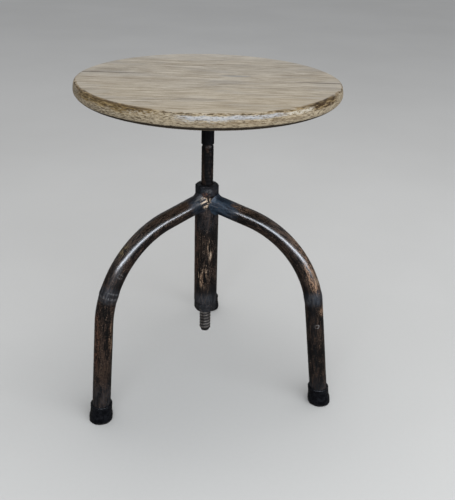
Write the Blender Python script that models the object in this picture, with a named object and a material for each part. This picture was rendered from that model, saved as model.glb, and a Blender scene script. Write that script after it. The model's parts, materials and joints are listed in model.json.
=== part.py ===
"""Three-legged screw stool.

A round wooden seat is carried by a steel plate on top of a coarse-threaded spindle.  The spindle
runs down through two hexagon nuts, one on each end of a vertical hub tube, and three bent tube
legs are welded round the top of the hub.  Each leg is two lengths of tube, an upper bend and a
lower post, butt-welded together, and stands in a rubber foot with a steel washer inside.
Turning the seat screws the spindle up or down.

The origin is the middle of the sitting surface, +Z is up and +Y points towards the rear leg.
Heights (z) are measured up from the floor, so every piece hangs from an empty one seat height down.
Lengths are in metres.
"""

import math

import bmesh
import bpy
from mathutils import Matrix, Vector

# ---------------------------------------------------------------- shared dimensions
GAP = 0.0003                 # space between neighbouring pieces
CUT_OVERRUN = 0.002          # how far cutters for the slab and plate pass its surface

SEAT_HEIGHT = 0.452          # floor to sitting surface in the rest position
SEAT_THICK = 0.025
SEAT_BOTTOM = SEAT_HEIGHT - SEAT_THICK

PLATE_THICK = 0.004
PLATE_TOP = SEAT_BOTTOM - GAP
PLATE_BOTTOM = PLATE_TOP - PLATE_THICK

SCREW_CIRCLE_R, SCREW_COUNT = 0.050, 4
FIRST_SCREW_DEG = 45
SCREW_HOLE_R = 0.0026        # in both the slab and the plate
SCREW_SEGMENTS = 12

SPIGOT_R = 0.0062            # plain upper end of the spindle, inside the boss and the plate
SPIGOT_BORE_R = SPIGOT_R + GAP
BOSS_BOTTOM = 0.3645

NUT_HEIGHT = 0.015
TOP_NUT_Z = 0.2920           # underside of the top nut
BOTTOM_NUT_Z = 0.1085        # underside of the bottom nut

HUB_R, HUB_WALL = 0.01675, 0.003
HUB_FACE_R = HUB_R + GAP     # where the legs' coped ends stop

LEG_R, LEG_WALL = 0.0125, 0.002
LEG_BORE_R = LEG_R - LEG_WALL
TUBE_SEGMENTS = 20
SPLICE_W = 0.0050            # length of weld metal between a leg's two tubes

FOOT_FLOOR = 0.0050          # rubber under the washer
WASHER_T = 0.0012
POST_END_Z = FOOT_FLOOR + WASHER_T + 2 * GAP
FOOT_SEGMENTS = 24

# The legs were bent by hand, so each has its own shape.  Angles are in degrees.
#   azimuth   direction seen from above     axis_z    where its centre line would meet the axis
#   fall      slope of its top length       bend_r    radius of the bend
#   lean      outward lean of its post      foot_r    axis to the foot's centre, at the floor
#   splice_z  height of its butt weld
LEGS = {
    "rear": dict(azimuth=90.0, axis_z=0.2832, fall=12.4, bend_r=0.1300,
                 lean=6.6, foot_r=0.1892, splice_z=0.180),
    "left": dict(azimuth=223.5, axis_z=0.2845, fall=11.2, bend_r=0.1345,
                 lean=5.0, foot_r=0.1915, splice_z=0.191),
    "right": dict(azimuth=336.8, axis_z=0.2827, fall=12.6, bend_r=0.1310,
                  lean=7.4, foot_r=0.1881, splice_z=0.170),
}


# ---------------------------------------------------------------- a clean scene and two empties
for old in list(bpy.data.objects):
    bpy.data.objects.remove(old, do_unlink=True)


def add_empty(name):
    empty = bpy.data.objects.new(name, None)
    empty.location = (0.0, 0.0, -SEAT_HEIGHT)
    empty.empty_display_size = 0.05
    bpy.context.scene.collection.objects.link(empty)
    return empty


FLOOR_CENTRE = add_empty("floor_centre")      # everything that stands still
SCREW_AXIS = add_empty("screw_axis")          # everything that turns with the seat


# ---------------------------------------------------------------- materials
def material(name, colour, roughness, metallic=0.0):
    mat = bpy.data.materials.new(name)
    mat.use_nodes = True
    shader = mat.node_tree.nodes["Principled BSDF"]
    shader.inputs["Base Color"].default_value = (*colour, 1.0)
    shader.inputs["Roughness"].default_value = roughness
    shader.inputs["Metallic"].default_value = metallic
    mat.diffuse_color = (*colour, 1.0)
    return mat


WOOD = material("weathered_wood", colour=(0.36, 0.30, 0.225), roughness=0.62)
PLATE_STEEL = material("plate_steel", colour=(0.10, 0.095, 0.09), roughness=0.45, metallic=0.9)
SCREW_STEEL = material("screw_steel", colour=(0.45, 0.44, 0.42), roughness=0.35, metallic=1.0)
BOSS_BLACK = material("boss_black", colour=(0.020, 0.020, 0.024), roughness=0.40, metallic=0.6)
SPINDLE_STEEL = material("spindle_steel", colour=(0.12, 0.10, 0.09), roughness=0.42, metallic=0.9)
NUT_STEEL = material("nut_steel", colour=(0.075, 0.070, 0.075), roughness=0.45, metallic=0.8)
HUB_PAINT = material("hub_paint", colour=(0.085, 0.065, 0.055), roughness=0.42, metallic=0.7)
LEG_PAINT = material("leg_paint", colour=(0.080, 0.052, 0.042), roughness=0.36, metallic=0.7)
WELD_BEAD = material("weld_bead", colour=(0.055, 0.060, 0.075), roughness=0.40, metallic=0.8)
RUBBER = material("foot_rubber", colour=(0.012, 0.012, 0.013), roughness=0.38)
WASHER_STEEL = material("washer_steel", colour=(0.50, 0.49, 0.47), roughness=0.35, metallic=1.0)


# ---------------------------------------------------------------- mesh helpers
def mesh_of(bm):
    bmesh.ops.recalc_face_normals(bm, faces=bm.faces)
    mesh = bpy.data.meshes.new("mesh")
    bm.to_mesh(mesh)
    bm.free()
    return mesh


def ring_mesh(rings, closed_loop=False):
    """Skin a list of equal rings of points.

    A closed loop joins the last ring to the first; otherwise both end rings are capped.
    """
    bm = bmesh.new()
    made = [[bm.verts.new(p) for p in ring] for ring in rings]
    count = len(made[0])
    pairs = list(zip(made, made[1:]))
    if closed_loop:
        pairs.append((made[-1], made[0]))
    for ring, following in pairs:
        for i in range(count):
            j = (i + 1) % count
            bm.faces.new((ring[i], ring[j], following[j], following[i]))
    if not closed_loop:
        bm.faces.new(list(reversed(made[0])))
        bm.faces.new(made[-1])
    return mesh_of(bm)


def level_ring(radius, z, count, centre_x=0.0, turn=0.0):
    angles = [2 * math.pi * k / count + turn for k in range(count)]
    return [Vector((centre_x + radius * math.cos(a), radius * math.sin(a), z)) for a in angles]


def lathe(profile, segments, hollow=False):
    """Turn (radius, height) points about +Z.

    A hollow profile is a closed outline clear of the axis; a solid one has its ends capped.
    """
    return ring_mesh([level_ring(r, z, segments) for r, z in profile], closed_loop=hollow)


def sleeve(bore, radius, bottom, top, bottom_chamfer, top_chamfer, segments):
    """A hollow cylinder with both outer edges chamfered."""
    profile = [
        (bore, bottom),
        (radius - bottom_chamfer, bottom),
        (radius, bottom + bottom_chamfer),
        (radius, top - top_chamfer),
        (radius - top_chamfer, top),
        (bore, top),
    ]
    return lathe(profile, segments, hollow=True)


# ---------------------------------------------------------------- object helpers
def new_object(name, mesh, parent):
    mesh.name = name
    obj = bpy.data.objects.new(name, mesh)
    bpy.context.scene.collection.objects.link(obj)
    obj.parent = parent
    return obj


def new_piece(name, mesh, mat, parent, smooth_angle=35.0):
    """A visible piece, shaded smooth except at edges sharper than smooth_angle degrees."""
    obj = new_object(name, mesh, parent)
    mesh.materials.append(mat)
    mesh.shade_smooth()
    mesh.set_sharp_from_angle(angle=math.radians(smooth_angle))
    return obj


def cut(obj, name, mesh, location=(0.0, 0.0, 0.0), turn=0.0, operation="DIFFERENCE"):
    """Apply a hidden cutter, hung from the same empty, to a piece."""
    cutter = new_object(name, mesh, obj.parent)
    cutter.hide_render = True
    cutter.display_type = "WIRE"
    cutter.location = location
    cutter.rotation_euler = (0.0, 0.0, turn)
    mod = obj.modifiers.new(name, "BOOLEAN")
    mod.operation = operation
    mod.solver = "EXACT"
    mod.object = cutter


def screw_places():
    """The number, angle and location of each seat screw."""
    for k in range(SCREW_COUNT):
        angle = math.radians(FIRST_SCREW_DEG + 360 * k / SCREW_COUNT)
        location = (SCREW_CIRCLE_R * math.cos(angle), SCREW_CIRCLE_R * math.sin(angle), 0.0)
        yield k + 1, angle, location


def drill_screw_holes(obj, name, bottom, top):
    for number, _, location in screw_places():
        drill = lathe([(SCREW_HOLE_R, bottom), (SCREW_HOLE_R, top)], SCREW_SEGMENTS)
        cut(obj, f"{name}_{number}", drill, location)


# ---------------------------------------------------------------- seat
SEAT_R = 0.175
SEAT_TOP_FLAT_R = 0.1715     # where the flat top turns into the worn rim
SEAT_BOTTOM_FLAT_R = 0.143   # underside is rounded in to this radius
SEAT_WIDEST_DROP = 0.010     # the rim is widest this far below the top
# Worn rim above the widest part: (inset from SEAT_R, drop below the top)
SEAT_RIM = ((0.0005, 0.0045), (0.0012, 0.0018), (0.0022, 0.0006))
SEAT_ROUNDING_STEPS = 6
SEAT_SEGMENTS = 80

# Drying checks: open splits along the grain (X), one from each end: (side, y, x of the tip)
CHECKS = (("left", 0.0231, -0.090), ("right", -0.0043, 0.118))
CHECK_WIDE, CHECK_NARROW = 0.0018, 0.0006      # at the rim, at the tip
CHECK_DEEP, CHECK_SHALLOW = 0.0080, 0.0030
CHECK_END_OVERRUN = 0.004

PILOT_DEPTH = 0.0162


def check_cutter(y, tip_x):
    """A wedge, half as wide at its floor as at its top, that widens and deepens to the rim."""
    end_x = math.copysign(SEAT_R + CHECK_END_OVERRUN, tip_x)
    top = SEAT_HEIGHT + CUT_OVERRUN
    rings = []
    for x, width, depth in ((tip_x, CHECK_NARROW, CHECK_SHALLOW), (end_x, CHECK_WIDE, CHECK_DEEP)):
        half = 0.5 * width
        floor = SEAT_HEIGHT - depth
        rings.append([
            Vector((x, y - half, top)),
            Vector((x, y - 0.5 * half, floor)),
            Vector((x, y + 0.5 * half, floor)),
            Vector((x, y + half, top)),
        ])
    return ring_mesh(rings)


def seat_slab():
    """A turned slab: flat top, worn rim, underside rounded in to a flat middle."""
    widest_z = SEAT_HEIGHT - SEAT_WIDEST_DROP
    profile = [(SEAT_BOTTOM_FLAT_R, SEAT_BOTTOM)]
    for k in range(1, SEAT_ROUNDING_STEPS):      # a quarter ellipse, leaving along the radius
        a = 0.5 * math.pi * k / SEAT_ROUNDING_STEPS
        profile.append((
            SEAT_BOTTOM_FLAT_R + (SEAT_R - SEAT_BOTTOM_FLAT_R) * math.sin(a),
            SEAT_BOTTOM + (widest_z - SEAT_BOTTOM) * (1.0 - math.cos(a)),
        ))
    profile.append((SEAT_R, widest_z))
    profile += [(SEAT_R - inset, SEAT_HEIGHT - drop) for inset, drop in SEAT_RIM]
    profile.append((SEAT_TOP_FLAT_R, SEAT_HEIGHT))
    slab = new_piece("seat_slab", lathe(profile, SEAT_SEGMENTS), WOOD, SCREW_AXIS)
    for side, y, tip_x in CHECKS:
        cut(slab, "check_cut_" + side, check_cutter(y, tip_x))
    drill_screw_holes(slab, "pilot_cut", SEAT_BOTTOM - CUT_OVERRUN, SEAT_BOTTOM + PILOT_DEPTH)


PLATE_R, PLATE_CHAMFER, PLATE_SEGMENTS = 0.065, 0.0006, 40


def seat_plate():
    mesh = sleeve(SPIGOT_BORE_R, PLATE_R, PLATE_BOTTOM, PLATE_TOP,
                  PLATE_CHAMFER, PLATE_CHAMFER, PLATE_SEGMENTS)
    plate = new_piece("seat_plate", mesh, PLATE_STEEL, SCREW_AXIS)
    drill_screw_holes(plate, "plate_hole_cut", PLATE_BOTTOM - CUT_OVERRUN, PLATE_TOP + CUT_OVERRUN)


SCREW_SHANK_R, SCREW_TIP_R = 0.0022, 0.0005
SCREW_LENGTH, SCREW_POINT_LENGTH = 0.019, 0.004
SCREW_HEAD_R, SCREW_HEAD_H = 0.0045, 0.0026
# Head from its crown up: (fraction of the head's radius, fraction of its height)
SCREW_HEAD_OUTLINE = ((0.55, 0.0), (0.88, 0.25), (1.0, 0.65), (1.0, 1.0))
SLOT_CUTTER_SIZE = (0.012, 0.0011, 0.0022)     # centred on the crown, so half its height cuts
SLOT_TURN = 0.6              # radians each slot is turned on from the one before


def seat_screws():
    """Slotted round-head wood screws, heads under the plate and points up in the slab."""
    shank_z = PLATE_BOTTOM - GAP
    crown_z = shank_z - SCREW_HEAD_H
    tip_z = shank_z + SCREW_LENGTH
    profile = [(SCREW_HEAD_R * r, crown_z + SCREW_HEAD_H * z) for r, z in SCREW_HEAD_OUTLINE]
    profile += [
        (SCREW_SHANK_R, shank_z),
        (SCREW_SHANK_R, tip_z - SCREW_POINT_LENGTH),
        (SCREW_TIP_R, tip_z),
    ]
    for number, angle, location in screw_places():
        mesh = lathe(profile, SCREW_SEGMENTS)
        screw = new_piece(f"seat_screw_{number}", mesh, SCREW_STEEL, SCREW_AXIS)
        screw.location = location
        bm = bmesh.new()
        placed = Matrix.Translation((0, 0, crown_z)) @ Matrix.Diagonal((*SLOT_CUTTER_SIZE, 1.0))
        bmesh.ops.create_cube(bm, size=1.0, matrix=placed)
        turn = angle + SLOT_TURN * (number - 1)
        cut(screw, f"slot_cut_{number}", mesh_of(bm), location, turn)


BOSS_R, BOSS_SEGMENTS = 0.0087, 32
BOSS_BOTTOM_CHAMFER, BOSS_TOP_CHAMFER = 0.0005, 0.0006


def seat_boss():
    """A plain round collar between the thread and the plate."""
    mesh = sleeve(SPIGOT_BORE_R, BOSS_R, BOSS_BOTTOM, PLATE_BOTTOM - GAP,
                  BOSS_BOTTOM_CHAMFER, BOSS_TOP_CHAMFER, BOSS_SEGMENTS)
    new_piece("seat_boss", mesh, BOSS_BLACK, SCREW_AXIS)


# ---------------------------------------------------------------- spindle
CREST_R, ROOT_R = 0.0083, 0.0068
THREAD_PITCH = 0.005         # single start, right-handed: one turn lifts the seat this far
THREAD_SEGMENTS = 12
THREAD_TOP = BOSS_BOTTOM - GAP
THREAD_MARGIN = 0.0012       # least plain length at each end of the thread
TIP_Z, TIP_R = 0.0715, 0.0060
THREAD_START_R = TIP_R + 0.0004
TIP_FLARE = 0.9              # growth of the crest radius per unit of height at the tip
TIP_THREAD_DEPTH = 0.0002    # least crest-to-root depth where the thread tapers
SPIGOT_TOP = PLATE_TOP - 0.0002


def spindle():
    """Two helices, crest and root, half a pitch apart, run out into plain ends."""
    count = THREAD_SEGMENTS
    start = TIP_Z + THREAD_MARGIN
    turns = int((THREAD_TOP - THREAD_MARGIN - start) / THREAD_PITCH) - 1
    levels = 2 * turns + 1                      # root, crest, root, ... up the first column
    bm = bmesh.new()

    def ring(radius, z):
        return [bm.verts.new(p) for p in level_ring(radius, z, count)]

    columns = []
    for col in range(count):
        angle = 2 * math.pi * col / count
        column = []
        for k in range(levels):
            z = start + THREAD_PITCH * (0.5 * k + col / count)
            radius = crest = min(CREST_R, THREAD_START_R + TIP_FLARE * (z - TIP_Z))
            if k == 0:
                radius = min(ROOT_R, THREAD_START_R)
            elif k % 2 == 0:
                radius = min(ROOT_R, crest - TIP_THREAD_DEPTH)
            column.append(bm.verts.new((radius * math.cos(angle), radius * math.sin(angle), z)))
        columns.append(column)
    tip = ring(TIP_R, TIP_Z)
    neck = ring(ROOT_R, THREAD_TOP)
    shoulder = ring(SPIGOT_R, THREAD_TOP)
    crown = ring(SPIGOT_R, SPIGOT_TOP)

    for col in range(count):
        nxt = (col + 1) % count
        last = col == count - 1
        shift = 2 if last else 0                # in one turn a helix climbs two levels
        here, there = columns[col], columns[nxt]
        for k in range(levels - 1 - shift):
            bm.faces.new((here[k], there[k + shift], there[k + 1 + shift], here[k + 1]))
        bm.faces.new((tip[col], tip[nxt], there[shift], here[0]))
        if last:                                # the steps where the thread starts and ends
            bm.faces.new((tip[nxt], there[0], there[1], there[2]))
            bm.faces.new((here[-3], there[-1], neck[nxt], neck[col], here[-1], here[-2]))
        else:
            bm.faces.new((here[-1], there[-1], neck[nxt], neck[col]))
        bm.faces.new((neck[col], neck[nxt], shoulder[nxt], shoulder[col]))
        bm.faces.new((shoulder[col], shoulder[nxt], crown[nxt], crown[col]))
    bm.faces.new(list(reversed(tip)))
    bm.faces.new(crown)
    bmesh.ops.triangulate(bm, faces=bm.faces)
    new_piece("spindle", mesh_of(bm), SPINDLE_STEEL, SCREW_AXIS, smooth_angle=28)


# ---------------------------------------------------------------- hub
NUT_FLATS = 0.029            # across flats
NUT_TURN = math.radians(-2.3)      # a flat of each nut faces roughly to the front (-Y)
NUT_BORE_R, NUT_BORE_CHAMFER = 0.0087, 0.0008
NUT_FACE_R = 0.5 * NUT_FLATS + 0.0002      # flat end face, inside the corner chamfer
NUT_BLANK_R, NUT_CHAMFER_DROP = 0.0180, 0.0021
NUT_BAR_OVERRUN = 0.001      # bar left beyond each end of the blank
NUT_BLANK_SEGMENTS = 36


def hex_nut(name, bottom):
    """A hexagon bar cut by a turned blank, which chamfers the corners and bores the middle."""
    top = bottom + NUT_HEIGHT
    corner_r = 0.5 * NUT_FLATS / math.cos(math.radians(30))
    bar = ring_mesh([level_ring(corner_r, z, 6, turn=NUT_TURN)
                     for z in (bottom - NUT_BAR_OVERRUN, top + NUT_BAR_OVERRUN)])
    nut = new_piece(name, bar, NUT_STEEL, FLOOR_CENTRE, smooth_angle=20)
    blank = [
        (NUT_BORE_R, bottom + NUT_BORE_CHAMFER),
        (NUT_BORE_R + NUT_BORE_CHAMFER, bottom),
        (NUT_FACE_R, bottom),
        (NUT_BLANK_R, bottom + NUT_CHAMFER_DROP),
        (NUT_BLANK_R, top - NUT_CHAMFER_DROP),
        (NUT_FACE_R, top),
        (NUT_BORE_R + NUT_BORE_CHAMFER, top),
        (NUT_BORE_R, top - NUT_BORE_CHAMFER),
    ]
    turned = lathe(blank, NUT_BLANK_SEGMENTS, hollow=True)
    cut(nut, name + "_blank", turned, turn=NUT_TURN, operation="INTERSECT")


HUB_CHAMFER, HUB_SEGMENTS = 0.0005, 40


def hub_tube():
    """The tube between the two nuts."""
    mesh = sleeve(HUB_R - HUB_WALL, HUB_R, BOTTOM_NUT_Z + NUT_HEIGHT + GAP, TOP_NUT_Z - GAP,
                  HUB_CHAMFER, HUB_CHAMFER, HUB_SEGMENTS)
    new_piece("hub_tube", mesh, HUB_PAINT, FLOOR_CENTRE)


# ---------------------------------------------------------------- leg geometry
# A leg is built pointing along +X, its centre line in the XZ plane, and then turned to its azimuth.
class LegLine:
    """A leg's centre line from hub to floor: straight, arc, straight."""

    def __init__(self, axis_z, fall, bend_r, lean, foot_r, splice_z):
        fall, lean = math.radians(fall), math.radians(lean)
        self.fall, self.bend_r, self.foot_r = fall, bend_r, foot_r
        self.slope = math.tan(lean)
        self.top_dir = Vector((math.cos(fall), 0.0, -math.sin(fall)))
        self.post_dir = Vector((math.sin(lean), 0.0, -math.cos(lean)))
        self.root = Vector((HUB_FACE_R, 0.0, axis_z - HUB_FACE_R * math.tan(fall)))

        # the corner where the two straights would meet
        corner_x = (foot_r - axis_z * self.slope) / (1.0 - math.tan(fall) * self.slope)
        corner = Vector((corner_x, 0.0, axis_z - corner_x * math.tan(fall)))
        self.turn = 0.5 * math.pi - lean - fall
        reach = bend_r * math.tan(0.5 * self.turn)
        self.arc_start = corner - reach * self.top_dir
        self.arc_end = corner + reach * self.post_dir
        self.arc_centre = self.arc_start - bend_r * Vector((math.sin(fall), 0.0, math.cos(fall)))

        splice_angle = math.asin((splice_z - self.arc_centre.z) / bend_r)
        self.splice_t = (0.5 * math.pi - fall - splice_angle) / self.turn
        self.splice, self.splice_dir = self.on_arc(self.splice_t)

    def on_arc(self, t):
        """Point and direction at fraction t of the arc, from its hub end."""
        a = 0.5 * math.pi - self.fall - t * self.turn
        point = self.arc_centre + self.bend_r * Vector((math.cos(a), 0.0, math.sin(a)))
        return point, Vector((math.sin(a), 0.0, -math.cos(a)))

    def beside_splice(self, sign):
        """The tube end above (-1) or below (+1) the splice weld."""
        offset = sign * (0.5 * SPLICE_W + GAP)
        return self.splice + offset * self.splice_dir, self.splice_dir

    def foot_ring(self, radius, z):
        """A level ring round the leaning post's centre line."""
        return level_ring(radius, z, FOOT_SEGMENTS, centre_x=self.foot_r - z * self.slope)


def spokes(direction, count):
    """Unit vectors square to a direction in the XZ plane."""
    side, up = Vector((0.0, 1.0, 0.0)), Vector((-direction.z, 0.0, direction.x))
    angles = [2 * math.pi * k / count for k in range(count)]
    return [math.cos(a) * side + math.sin(a) * up for a in angles]


def cross_ring(point, direction, radius):
    return [point + radius * spoke for spoke in spokes(direction, TUBE_SEGMENTS)]


def slide_to_cylinder(point, direction, radius):
    """Slide a point until it lies on the hub-centred cylinder, on the outward side."""
    a = direction.x ** 2 + direction.y ** 2
    b = point.x * direction.x + point.y * direction.y
    c = point.x ** 2 + point.y ** 2 - radius ** 2
    return point + (-b + math.sqrt(b * b - a * c)) / a * direction


def slide_to_level(point, direction, z):
    return point + (z - point.z) / direction.z * direction


def tube_mesh(stations, trimmed, slide, target):
    """A pipe along (point, direction) stations.

    The ring at the trimmed station is slid along the pipe by slide, up to target.
    """
    def skin(radius):
        rings = [cross_ring(point, direction, radius) for point, direction in stations]
        direction = stations[trimmed][1]
        rings[trimmed] = [slide(p, direction, target) for p in rings[trimmed]]
        return rings

    return ring_mesh(skin(LEG_R) + skin(LEG_BORE_R)[::-1], closed_loop=True)


# ---------------------------------------------------------------- leg pieces
BEND_STEPS, POST_STEPS = 9, 3      # steps of the arc above and below the splice


def leg_bend(line):
    """The upper tube, coped to the hub at its root."""
    stations = [(line.root, line.top_dir), (line.arc_start, line.top_dir)]
    stations += [line.on_arc(line.splice_t * k / BEND_STEPS) for k in range(1, BEND_STEPS)]
    stations.append(line.beside_splice(-1))
    return tube_mesh(stations, 0, slide_to_cylinder, HUB_FACE_R)


def leg_post(line):
    """The lower tube, cut level above the washer."""
    stations = [line.beside_splice(1)]
    for k in range(1, POST_STEPS):
        stations.append(line.on_arc(line.splice_t + (1 - line.splice_t) * k / POST_STEPS))
    stations.append((line.arc_end, line.post_dir))
    post_end = slide_to_level(line.arc_end, line.post_dir, POST_END_Z)
    stations.append((post_end, line.post_dir))
    return tube_mesh(stations, -1, slide_to_level, POST_END_Z)


WELD_TOE = 0.0026            # width of the weld bead above and below a leg's root
WELD_SIDE = 0.0011           # and at its sides, where two legs stand close
WELD_REACH = 1.15 * WELD_TOE       # length along the leg
WELD_CROWN = 0.62            # place of the crown, as a fraction of the bead's width and toe
WELD_SEGMENTS = 28


def hub_weld(line):
    """A four-sided fillet that follows the saddle between leg and hub."""
    inner = LEG_R + GAP
    bead_face_r = HUB_FACE_R + 0.5 * GAP
    axis = line.top_dir
    rings = []
    for k, spoke in enumerate(spokes(axis, WELD_SEGMENTS)):
        a = 2 * math.pi * k / WELD_SEGMENTS
        width = WELD_SIDE + (WELD_TOE - WELD_SIDE) * math.sin(a) ** 2

        def on_saddle(radius, face_r):
            return slide_to_cylinder(line.root + radius * spoke, axis, face_r)

        corner = on_saddle(inner, bead_face_r)
        hub_toe = on_saddle(inner + width, bead_face_r)
        crown = on_saddle(inner + WELD_CROWN * width, HUB_FACE_R) + WELD_CROWN * WELD_TOE * axis
        rings.append([corner, hub_toe, crown, corner + WELD_REACH * axis])
    return ring_mesh(rings, closed_loop=True)


SPLICE_CROWN_R = LEG_R + 0.0005    # ground almost flush
# (radius, place along the leg as a fraction of half the weld's length)
SPLICE_OUTLINE = (
    (LEG_BORE_R, -1.0), (LEG_R, -1.0), (SPLICE_CROWN_R, -0.4),
    (SPLICE_CROWN_R, 0.4), (LEG_R, 1.0), (LEG_BORE_R, 1.0),
)


def splice_weld(line):
    """Weld metal filling the butt joint, through the wall and slightly crowned outside."""
    rings = []
    for radius, along in SPLICE_OUTLINE:
        centre = line.splice + along * 0.5 * SPLICE_W * line.splice_dir
        rings.append(cross_ring(centre, line.splice_dir, radius))
    return ring_mesh(rings, closed_loop=True)


FOOT_BASE_R, FOOT_SLEEVE_R = 0.0162, 0.0149
FOOT_BASE_H, FOOT_H = 0.0105, 0.0265
FOOT_SOCKET_R = LEG_R + GAP + 0.0003
# (radius, height) up the outside and down into the socket
FOOT_OUTLINE = (
    (FOOT_BASE_R - 0.0034, 0.0),
    (FOOT_BASE_R - 0.0012, 0.0010),
    (FOOT_BASE_R - 0.0002, 0.0032),
    (FOOT_BASE_R, 0.0055),
    (FOOT_BASE_R - 0.0004, FOOT_BASE_H - 0.0020),
    (FOOT_SLEEVE_R + 0.0004, FOOT_BASE_H + 0.0015),
    (FOOT_SLEEVE_R, FOOT_BASE_H + 0.0040),
    (FOOT_SLEEVE_R - 0.0002, FOOT_H - 0.0010),
    (FOOT_SLEEVE_R - 0.0009, FOOT_H),
    (FOOT_SOCKET_R, FOOT_H),
    (FOOT_SOCKET_R, FOOT_FLOOR),
)


def foot(line):
    """Rubber foot: level slices that follow the leaning post, open at the top for the tube."""
    return ring_mesh([line.foot_ring(radius, z) for radius, z in FOOT_OUTLINE])


WASHER_R, WASHER_HOLE_R = 0.0121, 0.0045
WASHER_CHAMFER = 0.0002      # on the lower outer edge
WASHER_TOP_CLEARANCE = 0.0002      # taken off the washer's nominal thickness


def foot_washer(line):
    bottom = FOOT_FLOOR + GAP
    top = bottom + WASHER_T - WASHER_TOP_CLEARANCE
    centre_x = line.foot_r - bottom * line.slope
    outline = (
        (WASHER_HOLE_R, bottom),
        (WASHER_R - WASHER_CHAMFER, bottom),
        (WASHER_R, bottom + WASHER_CHAMFER),
        (WASHER_R, top),
        (WASHER_HOLE_R, top),
    )
    rings = [level_ring(radius, z, FOOT_SEGMENTS, centre_x) for radius, z in outline]
    return ring_mesh(rings, closed_loop=True)


LEG_PIECES = (
    ("leg_bend", leg_bend, LEG_PAINT),
    ("leg_post", leg_post, LEG_PAINT),
    ("hub_weld", hub_weld, WELD_BEAD),
    ("splice_weld", splice_weld, WELD_BEAD),
    ("foot", foot, RUBBER),
    ("foot_washer", foot_washer, WASHER_STEEL),
)


def leg(which, azimuth, **shape):
    line = LegLine(**shape)
    for name, build, mat in LEG_PIECES:
        obj = new_piece(f"{name}_{which}", build(line), mat, FLOOR_CENTRE)
        obj.rotation_euler = (0.0, 0.0, math.radians(azimuth))


# ---------------------------------------------------------------- build
seat_slab()
seat_plate()
seat_screws()
seat_boss()
spindle()
hex_nut("top_nut", TOP_NUT_Z)
hex_nut("bottom_nut", BOTTOM_NUT_Z)
hub_tube()
for which, shape in LEGS.items():
    leg(which, **shape)
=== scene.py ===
"""The looks of the three-legged screw stool, built round its CAD frame.  Metres, +Z up, origin in the middle of the sitting surface."""
import json
import math

import bmesh
import bpy
import numpy as np
from mathutils import Matrix, Quaternion, Vector
from mathutils import noise as mnoise

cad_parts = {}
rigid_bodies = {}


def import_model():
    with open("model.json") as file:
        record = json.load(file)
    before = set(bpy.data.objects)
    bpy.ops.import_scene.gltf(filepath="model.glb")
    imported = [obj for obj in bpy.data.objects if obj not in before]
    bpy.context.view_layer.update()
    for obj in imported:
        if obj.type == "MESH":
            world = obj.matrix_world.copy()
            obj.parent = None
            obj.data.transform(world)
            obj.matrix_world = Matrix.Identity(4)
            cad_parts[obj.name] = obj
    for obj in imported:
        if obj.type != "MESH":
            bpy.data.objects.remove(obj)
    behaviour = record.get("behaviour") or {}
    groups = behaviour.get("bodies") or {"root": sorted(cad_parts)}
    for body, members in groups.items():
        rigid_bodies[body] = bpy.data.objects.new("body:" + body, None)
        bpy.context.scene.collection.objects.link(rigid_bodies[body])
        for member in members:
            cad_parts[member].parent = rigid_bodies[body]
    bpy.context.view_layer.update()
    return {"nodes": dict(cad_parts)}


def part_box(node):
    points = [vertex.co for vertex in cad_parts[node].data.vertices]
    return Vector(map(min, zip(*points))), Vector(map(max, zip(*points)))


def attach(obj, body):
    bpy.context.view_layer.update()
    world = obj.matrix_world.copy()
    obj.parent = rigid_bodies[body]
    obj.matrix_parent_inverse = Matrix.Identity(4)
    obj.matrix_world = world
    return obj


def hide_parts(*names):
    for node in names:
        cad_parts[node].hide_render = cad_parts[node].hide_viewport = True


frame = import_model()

NODES = frame["nodes"]
TAU = 2.0 * math.pi

# ------------------------------------------------------------------ the CAD's own numbers
H = 0.452                       # floor to sitting surface
SEAT_R, SEAT_THICK = 0.175, 0.025
PLATE_R, PLATE_TOP, PLATE_BOTTOM = 0.065, -0.0253, -0.0293
SCREW_CIRCLE_R = 0.050
ROD_R, ROOT_R, PITCH, SPIGOT_R = 0.0083, 0.0068, 0.005, 0.0062
TIP_Z, TIP_R = 0.0715 - H, 0.0060
BOSS_R, BOSS_Z = 0.0087, 0.3645 - H
NUT_FLATS, NUT_HEIGHT, NUT_BORE_R, NUT_TURN = 0.029, 0.015, 0.0087, -2.3
TOP_NUT_Z, BOTTOM_NUT_Z = 0.2920 - H, 0.1085 - H
HUB_R, HUB_WALL = 0.01675, 0.003
LEG_R, LEG_WALL = 0.0125, 0.002
LEGS = {
    "rear": dict(azimuth=90.0, axis_z=0.2832, fall=12.4, bend_r=0.1300, lean=6.6, foot_r=0.1892, splice_z=0.180),
    "left": dict(azimuth=223.5, axis_z=0.2845, fall=11.2, bend_r=0.1345, lean=5.0, foot_r=0.1915, splice_z=0.191),
    "right": dict(azimuth=336.8, axis_z=0.2827, fall=12.6, bend_r=0.1310, lean=7.4, foot_r=0.1881, splice_z=0.170),
}
FOOT_BASE_R, FOOT_SLEEVE_R, FOOT_BASE_H, FOOT_H, FOOT_FLOOR = 0.0162, 0.0149, 0.0105, 0.0265, 0.0050


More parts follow.
